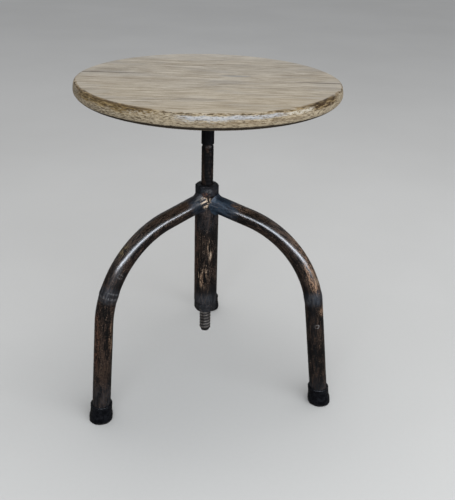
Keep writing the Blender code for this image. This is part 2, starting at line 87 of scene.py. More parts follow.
# ------------------------------------------------------------------ node graphs
class Graph:
    """A short way to write a material: every call adds a node and returns its output socket."""

    def __init__(self, name):
        self.mat = bpy.data.materials.new(name)
        self.mat.use_nodes = True
        self.tree = self.mat.node_tree
        self.tree.nodes.clear()
        self.out = self.tree.nodes.new("ShaderNodeOutputMaterial")
        self.bsdf = self.tree.nodes.new("ShaderNodeBsdfPrincipled")
        self.tree.links.new(self.bsdf.outputs[0], self.out.inputs["Surface"])

    def put(self, socket, value):
        if isinstance(value, bpy.types.NodeSocket):
            self.tree.links.new(value, socket)
        elif isinstance(value, (tuple, list)) and socket.type == "RGBA" and len(value) == 3:
            socket.default_value = (*value, 1.0)
        else:
            socket.default_value = value

    def add(self, kind, inputs=None, out=0, **props):
        node = self.tree.nodes.new(kind)
        for key, value in props.items():
            setattr(node, key, value)
        for key, value in (inputs or {}).items():
            self.put(node.inputs[key], value)
        return node.outputs[out]

    def math(self, op, a, b=0.0, c=0.0, clamp=False):
        node = self.tree.nodes.new("ShaderNodeMath")
        node.operation, node.use_clamp = op, clamp
        for i, value in enumerate((a, b, c)):
            self.put(node.inputs[i], value)
        return node.outputs[0]

    def plus(self, a, b): return self.math("ADD", a, b)
    def minus(self, a, b): return self.math("SUBTRACT", a, b)
    def times(self, a, b): return self.math("MULTIPLY", a, b)
    def both(self, *v):
        out = v[0]
        for x in v[1:]:
            out = self.times(out, x)
        return out
    def either(self, a, b): return self.math("MAXIMUM", a, b)
    def clamp(self, a): return self.math("ADD", a, 0.0, clamp=True)
    def inv(self, a): return self.math("SUBTRACT", 1.0, a, clamp=True)

    def step(self, x, lo, hi, a=0.0, b=1.0):
        """Smooth step of x from a at lo to b at hi."""
        return self.add("ShaderNodeMapRange", {0: x, 1: lo, 2: hi, 3: a, 4: b}, interpolation_type="SMOOTHSTEP")

    def band(self, x, lo, hi, soft):
        return self.times(self.step(x, lo - soft, lo + soft), self.step(x, hi - soft, hi + soft, 1.0, 0.0))

    def obj(self):
        return self.add("ShaderNodeTexCoord", out=3)

    def attr(self, name, vector=True):
        return self.add("ShaderNodeAttribute", out=1 if vector else 2, attribute_name=name)

    def scale(self, v, s):
        node = self.tree.nodes.new("ShaderNodeVectorMath")
        node.operation = "MULTIPLY"
        self.put(node.inputs[0], v)
        self.put(node.inputs[1], s if isinstance(s, tuple) else (s, s, s))
        return node.outputs[0]

    def shift(self, v, s):
        node = self.tree.nodes.new("ShaderNodeVectorMath")
        node.operation = "ADD"
        self.put(node.inputs[0], v)
        self.put(node.inputs[1], s)
        return node.outputs[0]

    def xyz(self, v):
        node = self.tree.nodes.new("ShaderNodeSeparateXYZ")
        self.put(node.inputs[0], v)
        return node.outputs[0], node.outputs[1], node.outputs[2]

    def vec(self, x, y, z):
        return self.add("ShaderNodeCombineXYZ", {0: x, 1: y, 2: z})

    def noise(self, v, scale=1.0, detail=3.0, rough=0.55, distort=0.0, out=0):
        return self.add("ShaderNodeTexNoise", {"Vector": v, "Scale": scale, "Detail": detail, "Roughness": rough, "Distortion": distort}, out=out)

    def cells(self, v, scale=1.0, feature="F1", out=0, random=1.0):
        return self.add("ShaderNodeTexVoronoi", {"Vector": v, "Scale": scale, "Randomness": random}, out=out, feature=feature)

    def mix(self, f, a, b, blend="MIX"):
        return self.add("ShaderNodeMix", {0: f, 6: a, 7: b}, out=2, data_type="RGBA", blend_type=blend)

    def mixf(self, f, a, b):
        return self.add("ShaderNodeMix", {0: f, 2: a, 3: b}, data_type="FLOAT")

    def ramp(self, f, stops, interp="LINEAR"):
        node = self.tree.nodes.new("ShaderNodeValToRGB")
        self.put(node.inputs[0], f)
        ramp = node.color_ramp
        ramp.interpolation = interp
        while len(ramp.elements) < len(stops):
            ramp.elements.new(0.5)
        for el, (pos, col) in zip(ramp.elements, stops):
            el.position, el.color = pos, (*col, 1.0)
        return node.outputs[0]

    def bump(self, height, strength=0.3, distance=0.001, normal=None):
        ins = {"Strength": strength, "Distance": distance, "Height": height}
        if normal is not None:
            ins["Normal"] = normal
        return self.add("ShaderNodeBump", ins)

    def edge(self, radius):
        """1 on worn outer edges, 0 on flats: how far a rounded normal turns from the true one."""
        bevel = self.add("ShaderNodeBevel", {"Radius": radius}, samples=6)
        geo = self.add("ShaderNodeNewGeometry", out=1)
        node = self.tree.nodes.new("ShaderNodeVectorMath")
        node.operation = "DOT_PRODUCT"
        self.put(node.inputs[0], bevel)
        self.put(node.inputs[1], geo)
        return self.step(node.outputs[1], 0.995, 0.86)

    def spot(self, v, centre, radii, wobble, soft=0.35):
        """1 inside an ellipsoid round centre whose surface is broken up by wobble, a 0 to 1 noise."""
        d = self.scale(self.shift(v, tuple(-c for c in centre)), tuple(1.0 / r for r in radii))
        length = self.tree.nodes.new("ShaderNodeVectorMath")
        length.operation = "LENGTH"
        self.put(length.inputs[0], d)
        dist = self.plus(length.outputs[1], self.times(self.minus(wobble, 0.5), 1.6))
        return self.step(dist, 1.0 - soft, 1.0 + soft, 1.0, 0.0)

    def finish(self, colour, rough, metal=0.0, normal=None, flat=None, **more):
        self.put(self.bsdf.inputs["Base Color"], colour)
        self.put(self.bsdf.inputs["Roughness"], rough)
        self.put(self.bsdf.inputs["Metallic"], metal)
        if normal is not None:
            self.put(self.bsdf.inputs["Normal"], normal)
        for key, value in more.items():
            self.put(self.bsdf.inputs[key.replace("_", " ")], value)
        if flat:
            self.mat.diffuse_color = (*flat, 1.0)
        return self.mat


# ------------------------------------------------------------------ mesh helpers
def link(obj):
    bpy.context.scene.collection.objects.link(obj)
    return obj


def new_mesh(name, verts, faces, flow=None, extra=None):
    mesh = bpy.data.meshes.new(name)
    mesh.from_pydata([tuple(map(float, v)) for v in verts], [], faces)
    if flow is not None:
        attribute = mesh.attributes.new("flow", "FLOAT_VECTOR", "POINT")
        attribute.data.foreach_set("vector", np.asarray(flow, np.float32).ravel())
    for key, values in (extra or {}).items():
        attribute = mesh.attributes.new(key, "FLOAT", "POINT")
        attribute.data.foreach_set("value", np.asarray(values, np.float32).ravel())
    bm = bmesh.new()
    bm.from_mesh(mesh)
    bmesh.ops.recalc_face_normals(bm, faces=bm.faces)
    bm.to_mesh(mesh)
    bm.free()
    mesh.update()
    return mesh


def grid_faces(rings, count, loop, caps):
    faces = []
    for i in range(rings - 1 + (1 if loop else 0)):
        a, b = i * count, ((i + 1) % rings) * count
        for k in range(count):
            m = (k + 1) % count
            faces.append((a + k, a + m, b + m, b + k))
    if caps and not loop:
        faces.append(tuple(range(count))[::-1])
        last = (rings - 1) * count
        faces.append(tuple(range(last, last + count)))
    return faces


def piece(name, mesh, mat, body, node=None, angle=40.0):
    """A finished mesh as an object that rides on a CAD body and stands for a CAD node."""
    mesh.name = name
    mesh.shade_smooth()
    mesh.set_sharp_from_angle(angle=math.radians(angle))
    obj = link(bpy.data.objects.new(name, mesh))
    if mat is not None:
        mesh.materials.clear()
        mesh.materials.append(mat)
    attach(obj, body)
    if node:
        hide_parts(node)
        lo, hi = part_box(node)
        co = np.array([v.co for v in mesh.vertices])
        off = max(np.abs(co.min(0) - np.array(lo)).max(), np.abs(co.max(0) - np.array(hi)).max())
        if off > 0.0012:
            print(f"SIZE {name}: {1000 * off:.2f} mm from the box of {node}")
    return obj


def wobble(p, scale, seed=0.0):
    """Smooth noise from -1 to 1 at a point."""
    return mnoise.noise(Vector((p[0] * scale + seed, p[1] * scale - seed, p[2] * scale + 0.7 * seed)))


def apply_boolean(obj, cutter, operation="DIFFERENCE"):
    mod = obj.modifiers.new("cut", "BOOLEAN")
    mod.operation, mod.solver, mod.object = operation, "EXACT", cutter
    mod.material_mode = "TRANSFER"
    depsgraph = bpy.context.evaluated_depsgraph_get()
    mesh = bpy.data.meshes.new_from_object(obj.evaluated_get(depsgraph), preserve_all_data_layers=True, depsgraph=depsgraph)
    obj.modifiers.remove(mod)
    obj.data = mesh
    bpy.data.objects.remove(cutter)
    return obj


def lathe_mesh(name, profile, segments, loop=False, dent=0.0, dent_scale=60.0, seed=0.0, centre=(0.0, 0.0)):
    """A turned shape from (radius, height) points, with slight dents.  flow holds the turned surface laid out straight."""
    pts = np.array(profile, float)
    arc = np.concatenate([[0.0], np.cumsum(np.hypot(*np.diff(pts, axis=0).T))])
    verts, flow = [], []
    for (r, z), s in zip(pts, arc):
        for k in range(segments):
            a = TAU * k / segments
            p = (math.cos(a), math.sin(a), z)
            rr = r
            if dent:
                rr = r + dent * wobble((r * p[0], r * p[1], z), dent_scale, seed)
            verts.append((centre[0] + rr * p[0], centre[1] + rr * p[1], z))
            flow.append((r * p[0], r * p[1], s))
    return new_mesh(name, verts, grid_faces(len(pts), segments, loop, not loop), flow)


def fillet(p0, p1, p2, r, steps=4):
    """Points that round the corner p1 between p0 and p2 with radius r."""
    a, b, c = np.array(p0, float), np.array(p1, float), np.array(p2, float)
    u, v = (a - b) / np.linalg.norm(a - b), (c - b) / np.linalg.norm(c - b)
    half = 0.5 * math.acos(max(-1.0, min(1.0, float(u @ v))))
    t = min(r / math.tan(half), 0.49 * np.linalg.norm(a - b), 0.49 * np.linalg.norm(c - b))
    s, e = b + t * u, b + t * v
    return [tuple((1 - q) ** 2 * s + 2 * q * (1 - q) * b + q * q * e) for q in np.linspace(0, 1, steps)]


def rounded(points, radius, loop=True, steps=4):
    """Rounds every corner of an outline of (r, z) points."""
    out, n = [], len(points)
    for i, p in enumerate(points):
        if not loop and i in (0, n - 1):
            out.append(p)
            continue
        out += fillet(points[i - 1], p, points[(i + 1) % n], radius[i] if isinstance(radius, (list, tuple)) else radius, steps)
    return out


def refine(points, step, loop=False):
    """Adds points along long straight runs."""
    pts = list(points) + ([points[0]] if loop else [])
    out = [pts[0]]
    for a, b in zip(pts, pts[1:]):
        n = max(1, int(math.ceil(math.hypot(b[0] - a[0], b[1] - a[1]) / step)))
        for k in range(1, n + 1):
            out.append((a[0] + (b[0] - a[0]) * k / n, a[1] + (b[1] - a[1]) * k / n))
    return out[:-1] if loop else out


# ------------------------------------------------------------------ materials: metal
BLACK, COAL, UMBER, RUST = (0.006, 0.0055, 0.0055), (0.013, 0.0115, 0.011), (0.032, 0.018, 0.012), (0.085, 0.040, 0.020)
COPPER, GOLD, BARE = (0.46, 0.26, 0.135), (0.52, 0.37, 0.20), (0.30, 0.27, 0.25)
BLUE = (0.011, 0.014, 0.021)


def patina(name, coords="flow", brown=0.5, gloss=0.24, marks=(), stretch=0.18, flat=(0.03, 0.022, 0.018), edges=0.0, shine=0.46):
    """Old paint over steel: black mottled with umber and rust in streaks along the tube, flecked where it is rubbed, under a waxed shine.
    Each mark is (kind, space, centre, radii, amount)."""
    g = Graph(name)
    p = g.attr("flow") if coords == "flow" else g.obj()
    o = g.obj()
    streak = g.noise(g.scale(p, (560.0, 560.0, 560.0 * stretch)), 1.0, 4.0, 0.62)
    mid = g.noise(g.shift(g.scale(p, (190.0, 190.0, 190.0 * 1.6 * stretch)), (3.1, 1.7, 0.4)), 1.0, 4.0, 0.6, 0.3)
    broad = g.noise(g.shift(g.scale(p, (60.0, 60.0, 22.0)), (0.3, 7.1, 2.2)), 1.0, 3.0, 0.55)
    speck = g.noise(p, 760.0, 3.0, 0.68)
    grit = g.noise(p, 1900.0, 2.0, 0.6)
    swell = g.times(g.minus(broad, 0.5), 0.55)

    lean = 0.50 - 0.10 * (brown - 0.5)
    field = g.plus(g.plus(g.times(streak, 0.42), g.times(mid, 0.30)), g.plus(g.times(speck, 0.28), swell))
    umber = g.step(field, lean - 0.035, lean + 0.060)
    colour = g.mix(umber, (0.0034, 0.0030, 0.0031), (0.0200, 0.0130, 0.0100))
    rust = g.step(g.plus(g.plus(g.times(streak, 0.5), g.times(speck, 0.5)), g.times(swell, 0.8)), lean + 0.055, lean + 0.100)
    colour = g.mix(g.times(rust, 0.70), colour, (0.046, 0.0285, 0.0205))
    fleck = g.step(g.plus(g.times(speck, 0.62), g.plus(g.times(grit, 0.14), g.times(mid, 0.24))), 0.590 - 0.02 * brown, 0.630 - 0.02 * brown)
    colour = g.mix(g.times(fleck, 0.70), colour, (0.180, 0.126, 0.092))
    pit = g.step(g.plus(g.times(speck, 0.6), g.times(streak, 0.4)), 0.430, 0.395)
    colour = g.mix(g.times(pit, 0.75), colour, (0.0038, 0.0034, 0.0036))
    bare = g.times(fleck, 0.25)
    smooth = matte = None
    texture = g.plus(g.times(mid, 0.45), g.times(streak, 0.55))
    if edges:
        e = g.both(g.edge(edges), g.step(texture, 0.46, 0.56), 0.55)
        colour = g.mix(e, colour, (0.13, 0.105, 0.085))
    for kind, space, centre, radii, amount in marks:
        at = g.spot(p if space == "flow" else o, centre, radii, texture, 0.40)
        if kind == "blue":
            cover = g.times(g.both(at, g.step(g.plus(g.times(speck, 0.5), g.times(mid, 0.5)), 0.66, 0.58)), amount)
            colour = g.mix(cover, colour, g.mix(g.step(g.plus(g.times(mid, 0.6), g.times(speck, 0.4)), 0.44, 0.58), (0.0060, 0.0085, 0.0135), (0.026, 0.041, 0.060)))
            smooth = cover if smooth is None else g.either(smooth, cover)
            matte = g.times(cover, 0.85) if matte is None else g.either(matte, g.times(cover, 0.85))
        elif kind == "band":
            cover = g.times(g.both(at, g.step(speck, 0.62, 0.54)), amount)
            colour = g.mix(cover, colour, g.mix(g.step(texture, 0.44, 0.56), (0.012, 0.0130, 0.0155), (0.036, 0.038, 0.044)))
            smooth = cover if smooth is None else g.either(smooth, cover)
            matte = cover if matte is None else g.either(matte, cover)
        elif kind == "dark":
            cover = g.times(g.both(at, g.step(texture, 0.60, 0.46)), amount)
            colour = g.mix(cover, colour, (0.0048, 0.0046, 0.0052))
            matte = cover if matte is None else g.either(matte, cover)
        elif kind == "dull":
            matte = g.times(at, amount) if matte is None else g.either(matte, g.times(at, amount))
        elif kind == "tan":
            colour = g.mix(g.times(g.both(at, g.step(g.plus(g.times(streak, 0.6), g.times(speck, 0.4)), 0.43, 0.57)), amount), colour, (0.088, 0.060, 0.044))
        elif kind == "scratch":
            cover = g.times(g.both(at, g.step(streak, 0.515, 0.565), g.step(speck, 0.40, 0.50)), amount)
            colour = g.mix(cover, colour, g.mix(g.step(speck, 0.47, 0.56), (0.20, 0.118, 0.072), (0.58, 0.43, 0.31)))
            bare = g.either(bare, g.times(cover, 0.45))
        elif kind == "grey":
            cover = g.times(g.both(at, g.step(streak, 0.44, 0.56)), amount)
            colour = g.mix(cover, colour, (0.115, 0.115, 0.120))
        elif kind == "ring":
            d = g.scale(g.shift(p, tuple(-c for c in centre)), tuple(1.0 / r for r in radii))
            length = g.tree.nodes.new("ShaderNodeVectorMath")
            length.operation = "LENGTH"
            g.put(length.inputs[0], d)
            line = g.both(g.band(length.outputs[1], 0.68, 1.08, 0.20), g.step(g.plus(g.times(speck, 0.6), g.times(mid, 0.4)), 0.46, 0.53))
            colour = g.mix(g.times(line, amount), colour, (0.20, 0.19, 0.19))
        else:
            tint, second = {"copper": ((0.38, 0.230, 0.145), (0.13, 0.076, 0.048)), "cream": ((0.50, 0.395, 0.295), (0.24, 0.170, 0.120)),
                            "olive": ((0.26, 0.20, 0.085), (0.12, 0.085, 0.040)), "rust": ((0.17, 0.072, 0.040), (0.075, 0.034, 0.022))}[kind]
            lines = g.step(g.plus(g.plus(g.times(streak, 0.50), g.times(speck, 0.40)), g.times(mid, 0.10)), 0.465, 0.540)
            cover = g.times(g.times(at, lines), amount)
            colour = g.mix(cover, colour, g.mix(g.step(g.plus(g.times(speck, 0.5), g.times(streak, 0.5)), 0.47, 0.57), second, tint))
            bare = g.either(bare, g.times(cover, 0.18))
            matte = g.times(cover, 0.9) if matte is None else g.either(matte, g.times(cover, 0.9))

    rough = g.plus(gloss, g.plus(g.times(g.minus(mid, 0.5), 0.18), g.times(g.minus(speck, 0.5), 0.12)))
    rough = g.math("MAXIMUM", g.plus(rough, g.times(bare, 0.2)), 0.10)
    spec = shine
    if matte is not None:
        rough = g.plus(rough, g.times(matte, 0.28))
        spec = g.times(g.math("SUBTRACT", 1.0, g.times(matte, 0.80)), shine)
    height = g.plus(g.times(streak, 0.30), g.plus(g.times(speck, 0.45), g.times(grit, 0.14)))
    height = g.plus(height, g.plus(g.times(umber, 0.10), g.times(pit, -0.20)))
    if smooth is not None:
        height = g.times(height, g.math("SUBTRACT", 1.0, g.times(smooth, 0.4)))
    normal = g.bump(height, 0.055, 0.0005)
    normal = g.bump(mid, 0.035, 0.0012, normal)
    return g.finish(colour, rough, bare, normal, flat, Specular_IOR_Level=spec)


def thread_metal():
    """The spindle: painted over and greased black above, rubbed back to greyish steel on the crests at its foot."""
    g = Graph("spindle_steel")
    p = g.obj()
    x, y, z = g.xyz(p)
    r = g.math("SQRT", g.plus(g.times(x, x), g.times(y, y)))
    crest = g.step(r, ROOT_R + 0.0004, ROD_R - 0.00022)
    medium = g.noise(g.scale(p, (1.0, 1.0, 0.5)), 240.0, 4.0, 0.62, 0.5)
    fine = g.noise(p, 900.0, 4.0, 0.65)
    broad = g.noise(g.scale(p, (1.0, 1.0, 0.35)), 70.0, 3.0, 0.55)
    turned = g.noise(g.scale(p, (60.0, 60.0, 2600.0)), 1.0, 2.0, 0.5)
    low = g.step(z, 0.170 - H, 0.112 - H)
    steel = g.mix(g.step(medium, 0.40, 0.60), (0.075, 0.066, 0.060), (0.200, 0.182, 0.168))
    steel = g.mix(g.step(fine, 0.56, 0.68, 0.0, 0.6), steel, (0.26, 0.23, 0.20))
    dark = g.mix(g.step(g.plus(g.times(broad, 0.5), g.times(medium, 0.5)), 0.47, 0.58), (0.0032, 0.0028, 0.0032), (0.0150, 0.0085, 0.0065))
    dark = g.mix(g.step(g.plus(g.times(medium, 0.7), g.times(fine, 0.3)), 0.55, 0.64, 0.0, 0.70), dark, (0.045, 0.026, 0.018))
    glint = g.both(crest, g.step(fine, 0.53, 0.63), g.step(broad, 0.46, 0.56), 0.35)
    top = g.mix(glint, dark, (0.15, 0.105, 0.075))
    colour = g.mix(g.times(low, g.mixf(crest, 0.30, 1.0)), top, steel)
    colour = g.mix(g.times(g.times(g.inv(crest), low), 0.93), colour, (0.0065, 0.0050, 0.0045))
    rough = g.plus(g.mixf(crest, 0.55, 0.38), g.times(g.minus(medium, 0.5), 0.40))
    height = g.plus(g.times(fine, 0.5), g.plus(g.times(medium, 0.4), g.times(turned, 0.25)))
    normal = g.bump(height, 0.45, 0.0004)
    metal = g.times(low, g.mixf(crest, 0.05, 0.55))
    return g.finish(colour, rough, metal, normal, (0.06, 0.05, 0.045), Specular_IOR_Level=g.mixf(low, 0.14, 0.38))


def black_paint(name, tint=(0.0016, 0.0016, 0.0022), rough=0.42):
    g = Graph(name)
    p = g.obj()
    medium = g.noise(p, 180.0, 4.0, 0.6)
    fine = g.noise(p, 800.0, 4.0, 0.65)
    chips = g.step(g.plus(g.times(medium, 0.6), g.times(fine, 0.4)), 0.62, 0.66)
    colour = g.mix(g.step(medium, 0.35, 0.7), tint, tuple(2.6 * c for c in tint))
    colour = g.mix(g.times(chips, 0.6), colour, (0.030, 0.018, 0.012))
    e = g.edge(0.0006)
    colour = g.mix(g.both(e, g.step(medium, 0.4, 0.6), 0.5), colour, (0.12, 0.10, 0.085))
    height = g.minus(g.plus(g.times(fine, 0.5), g.times(medium, 0.6)), g.times(chips, 0.5))
    return g.finish(colour, g.plus(rough, g.times(g.minus(medium, 0.5), 0.3)), 0.0, g.bump(height, 0.35, 0.0004), tint, Specular_IOR_Level=0.12)


def plate_metal():
    """Mill-black plate with brushed scratches, rust blooming at the rim and round the screws."""
    g = Graph("plate_steel")
    p = g.obj()
    x, y, z = g.xyz(p)
    r = g.math("SQRT", g.plus(g.times(x, x), g.times(y, y)))
    broad = g.noise(p, 45.0, 4.0, 0.6, 0.6)
    medium = g.noise(p, 170.0, 5.0, 0.62)
    fine = g.noise(p, 700.0, 4.0, 0.65)
    brush = g.noise(g.scale(p, (900.0, 40.0, 40.0)), 1.0, 3.0, 0.6)
    colour = g.mix(g.step(broad, 0.35, 0.68), (0.020, 0.0195, 0.020), (0.052, 0.046, 0.042))
    rusty = g.step(g.plus(g.times(broad, 0.55), g.plus(g.times(fine, 0.2), g.step(r, 0.045, 0.068, 0.0, 0.25))), 0.50, 0.66)
    colour = g.mix(g.times(rusty, 0.85), colour, g.mix(g.step(medium, 0.35, 0.65), (0.12, 0.05, 0.022), (0.20, 0.10, 0.045)))
    colour = g.mix(g.step(brush, 0.60, 0.72, 0.0, 0.35), colour, (0.16, 0.15, 0.14))
    e = g.edge(0.0007)
    colour = g.mix(g.both(e, g.step(medium, 0.35, 0.6), 0.6), colour, (0.24, 0.21, 0.18))
    height = g.plus(g.times(medium, 0.5), g.plus(g.times(fine, 0.4), g.times(brush, 0.25)))
    return g.finish(colour, g.plus(g.mixf(rusty, 0.38, 0.75), g.times(g.minus(medium, 0.5), 0.2)), g.mixf(rusty, 0.75, 0.1), g.bump(height, 0.4, 0.0005), (0.05, 0.045, 0.04))


def bright_metal(name, tint, dirt=0.5):
    g = Graph(name)
    p = g.obj()
    medium = g.noise(p, 380.0, 4.0, 0.6)
    fine = g.noise(p, 1500.0, 3.0, 0.65)
    colour = g.mix(g.step(medium, 0.62 - 0.25 * dirt, 0.80 - 0.25 * dirt), tint, tuple(0.22 * c for c in tint))
    colour = g.mix(g.step(fine, 0.62, 0.7, 0.0, 0.6), colour, (0.16, 0.07, 0.03))
    rough = g.plus(0.30, g.times(g.step(medium, 0.4, 0.7), 0.35))
    return g.finish(colour, rough, g.step(medium, 0.45, 0.75, 1.0, 0.5), g.bump(g.plus(fine, medium), 0.3, 0.0002), tint)


def rubber():
    """Moulded black rubber: faint mould streaks, scuffs, and floor dust caught low on the foot."""
    g = Graph("foot_rubber")
    p = g.obj()
    x, y, z = g.xyz(p)
    medium = g.noise(p, 150.0, 4.0, 0.6)
    fine = g.noise(p, 1100.0, 4.0, 0.62)
    scuff = g.noise(g.scale(p, (90.0, 90.0, 900.0)), 1.0, 4.0, 0.65, 0.8)
    colour = g.mix(g.step(medium, 0.38, 0.62), (0.0022, 0.0024, 0.0034), (0.0058, 0.0062, 0.0080))
    low = g.step(z, 0.0034 - H, 0.0002 - H)
    dust = g.clamp(g.plus(g.times(low, g.step(medium, 0.38, 0.58)), g.times(g.step(scuff, 0.60, 0.70), 0.16)))
    colour = g.mix(g.times(dust, 0.50), colour, (0.055, 0.047, 0.039))
    rough = g.plus(0.27, g.plus(g.times(dust, 0.35), g.times(g.minus(medium, 0.5), 0.30)))
    height = g.plus(g.times(fine, 0.4), g.plus(g.times(scuff, 0.5), g.times(medium, 0.5)))
    return g.finish(colour, rough, 0.0, g.bump(height, 0.30, 0.0005), (0.008, 0.008, 0.010), Specular_IOR_Level=0.20)


# ------------------------------------------------------------------ materials: wood
def seat_wood():
    """Weathered, scrubbed board.  Growth rings are cylinders about a pith line below the slab, so the long grain on top turns into
    side grain at the front of the rim and end grain at its left and right."""
    g = Graph("weathered_wood")
    p = g.obj()
    rim = g.attr("rim", vector=False)            # metres along the turned outline, 0 where the flat top ends
    x, y, z = g.xyz(p)
    angle = g.times(g.math("ARCTAN2", y, x), 180.0 / math.pi)
    mm = g.times(z, 1000.0)

    drift = g.noise(g.scale(p, (4.0, 9.0, 9.0)), 1.0, 2.0, 0.5, out=1)
    dx, dy, dz = g.xyz(drift)
    drift2 = g.noise(g.scale(p, (24.0, 50.0, 50.0)), 1.0, 2.0, 0.5)
    yy = g.plus(g.plus(y, g.times(g.minus(dx, 0.5), 0.010)), g.times(g.minus(drift2, 0.5), 0.0018))
    zz = g.plus(z, g.times(g.minus(dy, 0.5), 0.014))
    py, pz = g.plus(yy, -0.035), g.plus(zz, 0.150)
    ring = g.math("SQRT", g.plus(g.times(py, py), g.times(pz, pz)))
    line3 = g.vec(x, yy, zz)
    broad = g.noise(g.scale(line3, (8.0, 210.0, 210.0)), 1.0, 5.0, 0.68)
    band = g.noise(g.scale(g.vec(x, ring, 0.0), (11.0, 320.0, 1.0)), 1.0, 4.0, 0.64)
    line = g.noise(g.scale(line3, (30.0, 430.0, 430.0)), 1.0, 4.0, 0.66)
    fibre = g.noise(g.scale(line3, (40.0, 1500.0, 1500.0)), 1.0, 3.0, 0.65)
    fleck = g.noise(g.scale(line3, (150.0, 1900.0, 1900.0)), 1.0, 2.0, 0.6)
    pore = g.cells(g.scale(line3, (75.0, 950.0, 950.0)), 1.0)
    cloud = g.noise(g.scale(p, (9.0, 30.0, 30.0)), 1.0, 5.0, 0.64, 0.2)
    cloud2 = g.noise(g.scale(g.shift(p, (1.3, 2.9, 0.0)), (7.0, 96.0, 96.0)), 1.0, 5.0, 0.66)
    hair = g.noise(g.scale(g.shift(line3, (0.7, 0.2, 0.9)), (5.5, 330.0, 330.0)), 1.0, 2.0, 0.5)
    mottle = g.noise(p, 260.0, 4.0, 0.6)
    crumb = g.noise(g.scale(p, (520.0, 520.0, 700.0)), 1.0, 3.0, 0.65)

    tone = g.plus(g.plus(g.times(broad, 0.21), g.times(band, 0.17)), g.plus(g.times(line, 0.36), g.times(fibre, 0.26)))
    colour = g.ramp(tone, [(0.435, (0.172, 0.136, 0.094)), (0.478, (0.292, 0.245, 0.182)), (0.518, (0.394, 0.343, 0.270)), (0.565, (0.505, 0.455, 0.378))])
    colour = g.mix(g.times(g.step(hair, 0.40, 0.33), 0.52), colour, (0.150, 0.118, 0.082))
    colour = g.mix(g.times(g.step(fleck, 0.56, 0.70), 0.30), colour, (0.54, 0.49, 0.42))
    colour = g.mix(g.times(g.step(pore, 0.0, 0.28, 1.0, 0.0), 0.34), colour, (0.135, 0.105, 0.078))
    colour = g.mix(g.times(g.step(cloud, 0.49, 0.62), 0.40), colour, (0.272, 0.256, 0.238))
    colour = g.mix(g.times(g.step(cloud2, 0.52, 0.66), 0.24), colour, (0.275, 0.216, 0.144))
    colour = g.mix(g.times(g.step(cloud2, 0.46, 0.36), 0.20), colour, (0.490, 0.435, 0.350))

    wide = g.noise(g.scale(g.shift(p, (0.4, 1.1, 0.0)), (5.0, 11.0, 11.0)), 1.0, 3.0, 0.5)
    colour = g.mix(g.times(g.step(g.plus(wide, g.times(y, -0.9)), 0.46, 0.60), 0.26), colour, g.mix(0.5, colour, (0.520, 0.440, 0.318)))
    colour = g.mix(g.times(g.step(g.plus(wide, g.times(y, -0.9)), 0.50, 0.36), 0.26), colour, g.mix(0.5, colour, (0.255, 0.240, 0.215)))

    # paler at the back, greyer across the middle, yellower at the right of the front, and a fine speckle all over
    colour = g.mix(g.times(g.step(g.plus(y, g.times(wide, 0.04)), 0.110, 0.175), 0.20), colour, (0.60, 0.58, 0.54))
    colour = g.mix(g.times(g.band(y, -0.050, 0.100, 0.030), 0.11), colour, (0.340, 0.326, 0.308))
    colour = g.mix(g.times(g.step(g.plus(g.times(y, -1.0), g.times(x, 0.40)), 0.085, 0.160), 0.17), colour, (0.330, 0.250, 0.140))
    colour = g.mix(g.times(g.step(crumb, 0.54, 0.68), 0.16), colour, (0.56, 0.51, 0.44))
    colour = g.mix(g.times(g.step(crumb, 0.46, 0.32), 0.16), colour, (0.200, 0.165, 0.120))

    def ellipse(cx, cy, rx, ry, soft=0.45):
        ex, ey = g.times(g.plus(x, -cx), 1.0 / rx), g.times(g.plus(yy, -cy), 1.0 / ry)
        d = g.math("SQRT", g.plus(g.times(ex, ex), g.times(ey, ey)))
        return g.step(g.plus(d, g.times(g.minus(mottle, 0.5), 0.9)), 1.0 - soft, 1.0 + soft, 1.0, 0.0)

    # a bluish smear; dark grey along the two checks, partly dirt drawn into the grain and partly painted shade for the
    # shade inside the checks; and a few closed hairline splits
    colour = g.mix(g.times(ellipse(0.034, 0.021, 0.020, 0.0040), 0.55), colour, (0.205, 0.220, 0.235))
    # partly painted shade: dark grey along the left check
    colour = g.mix(g.times(ellipse(-0.135, 0.0235, 0.052, 0.0026), 0.62), colour, (0.135, 0.118, 0.098))
    colour = g.mix(g.times(ellipse(-0.130, 0.0450, 0.030, 0.0016), 0.45), colour, (0.150, 0.128, 0.100))
    # partly painted shade: dark grey along the right check
    colour = g.mix(g.times(ellipse(0.150, -0.0040, 0.042, 0.0024), 0.62), colour, (0.135, 0.122, 0.105))
    colour = g.mix(g.times(ellipse(0.055, -0.0430, 0.060, 0.0015), 0.50), colour, (0.155, 0.128, 0.098))
    colour = g.mix(g.times(ellipse(0.008, -0.1060, 0.028, 0.0014), 0.50), colour, (0.155, 0.128, 0.098))
    colour = g.mix(g.times(ellipse(0.110, 0.1210, 0.026, 0.0022), 0.45), colour, (0.150, 0.130, 0.105))
    colour = g.mix(g.times(ellipse(-0.100, -0.020, 0.075, 0.022, 0.7), 0.16), colour, (0.300, 0.240, 0.170))

    # end grain at the two ends of the board
    side = g.step(rim, 0.0005, 0.0040)
    ends = g.times(side, g.step(g.math("ABSOLUTE", g.math("COSINE", g.math("ARCTAN2", y, x))), 0.70, 0.97))
    endgrain = g.noise(g.scale(p, (500.0, 900.0, 900.0)), 1.0, 4.0, 0.65)
    colour = g.mix(g.both(ends, g.step(endgrain, 0.40, 0.62), 0.28), colour, (0.150, 0.122, 0.090))

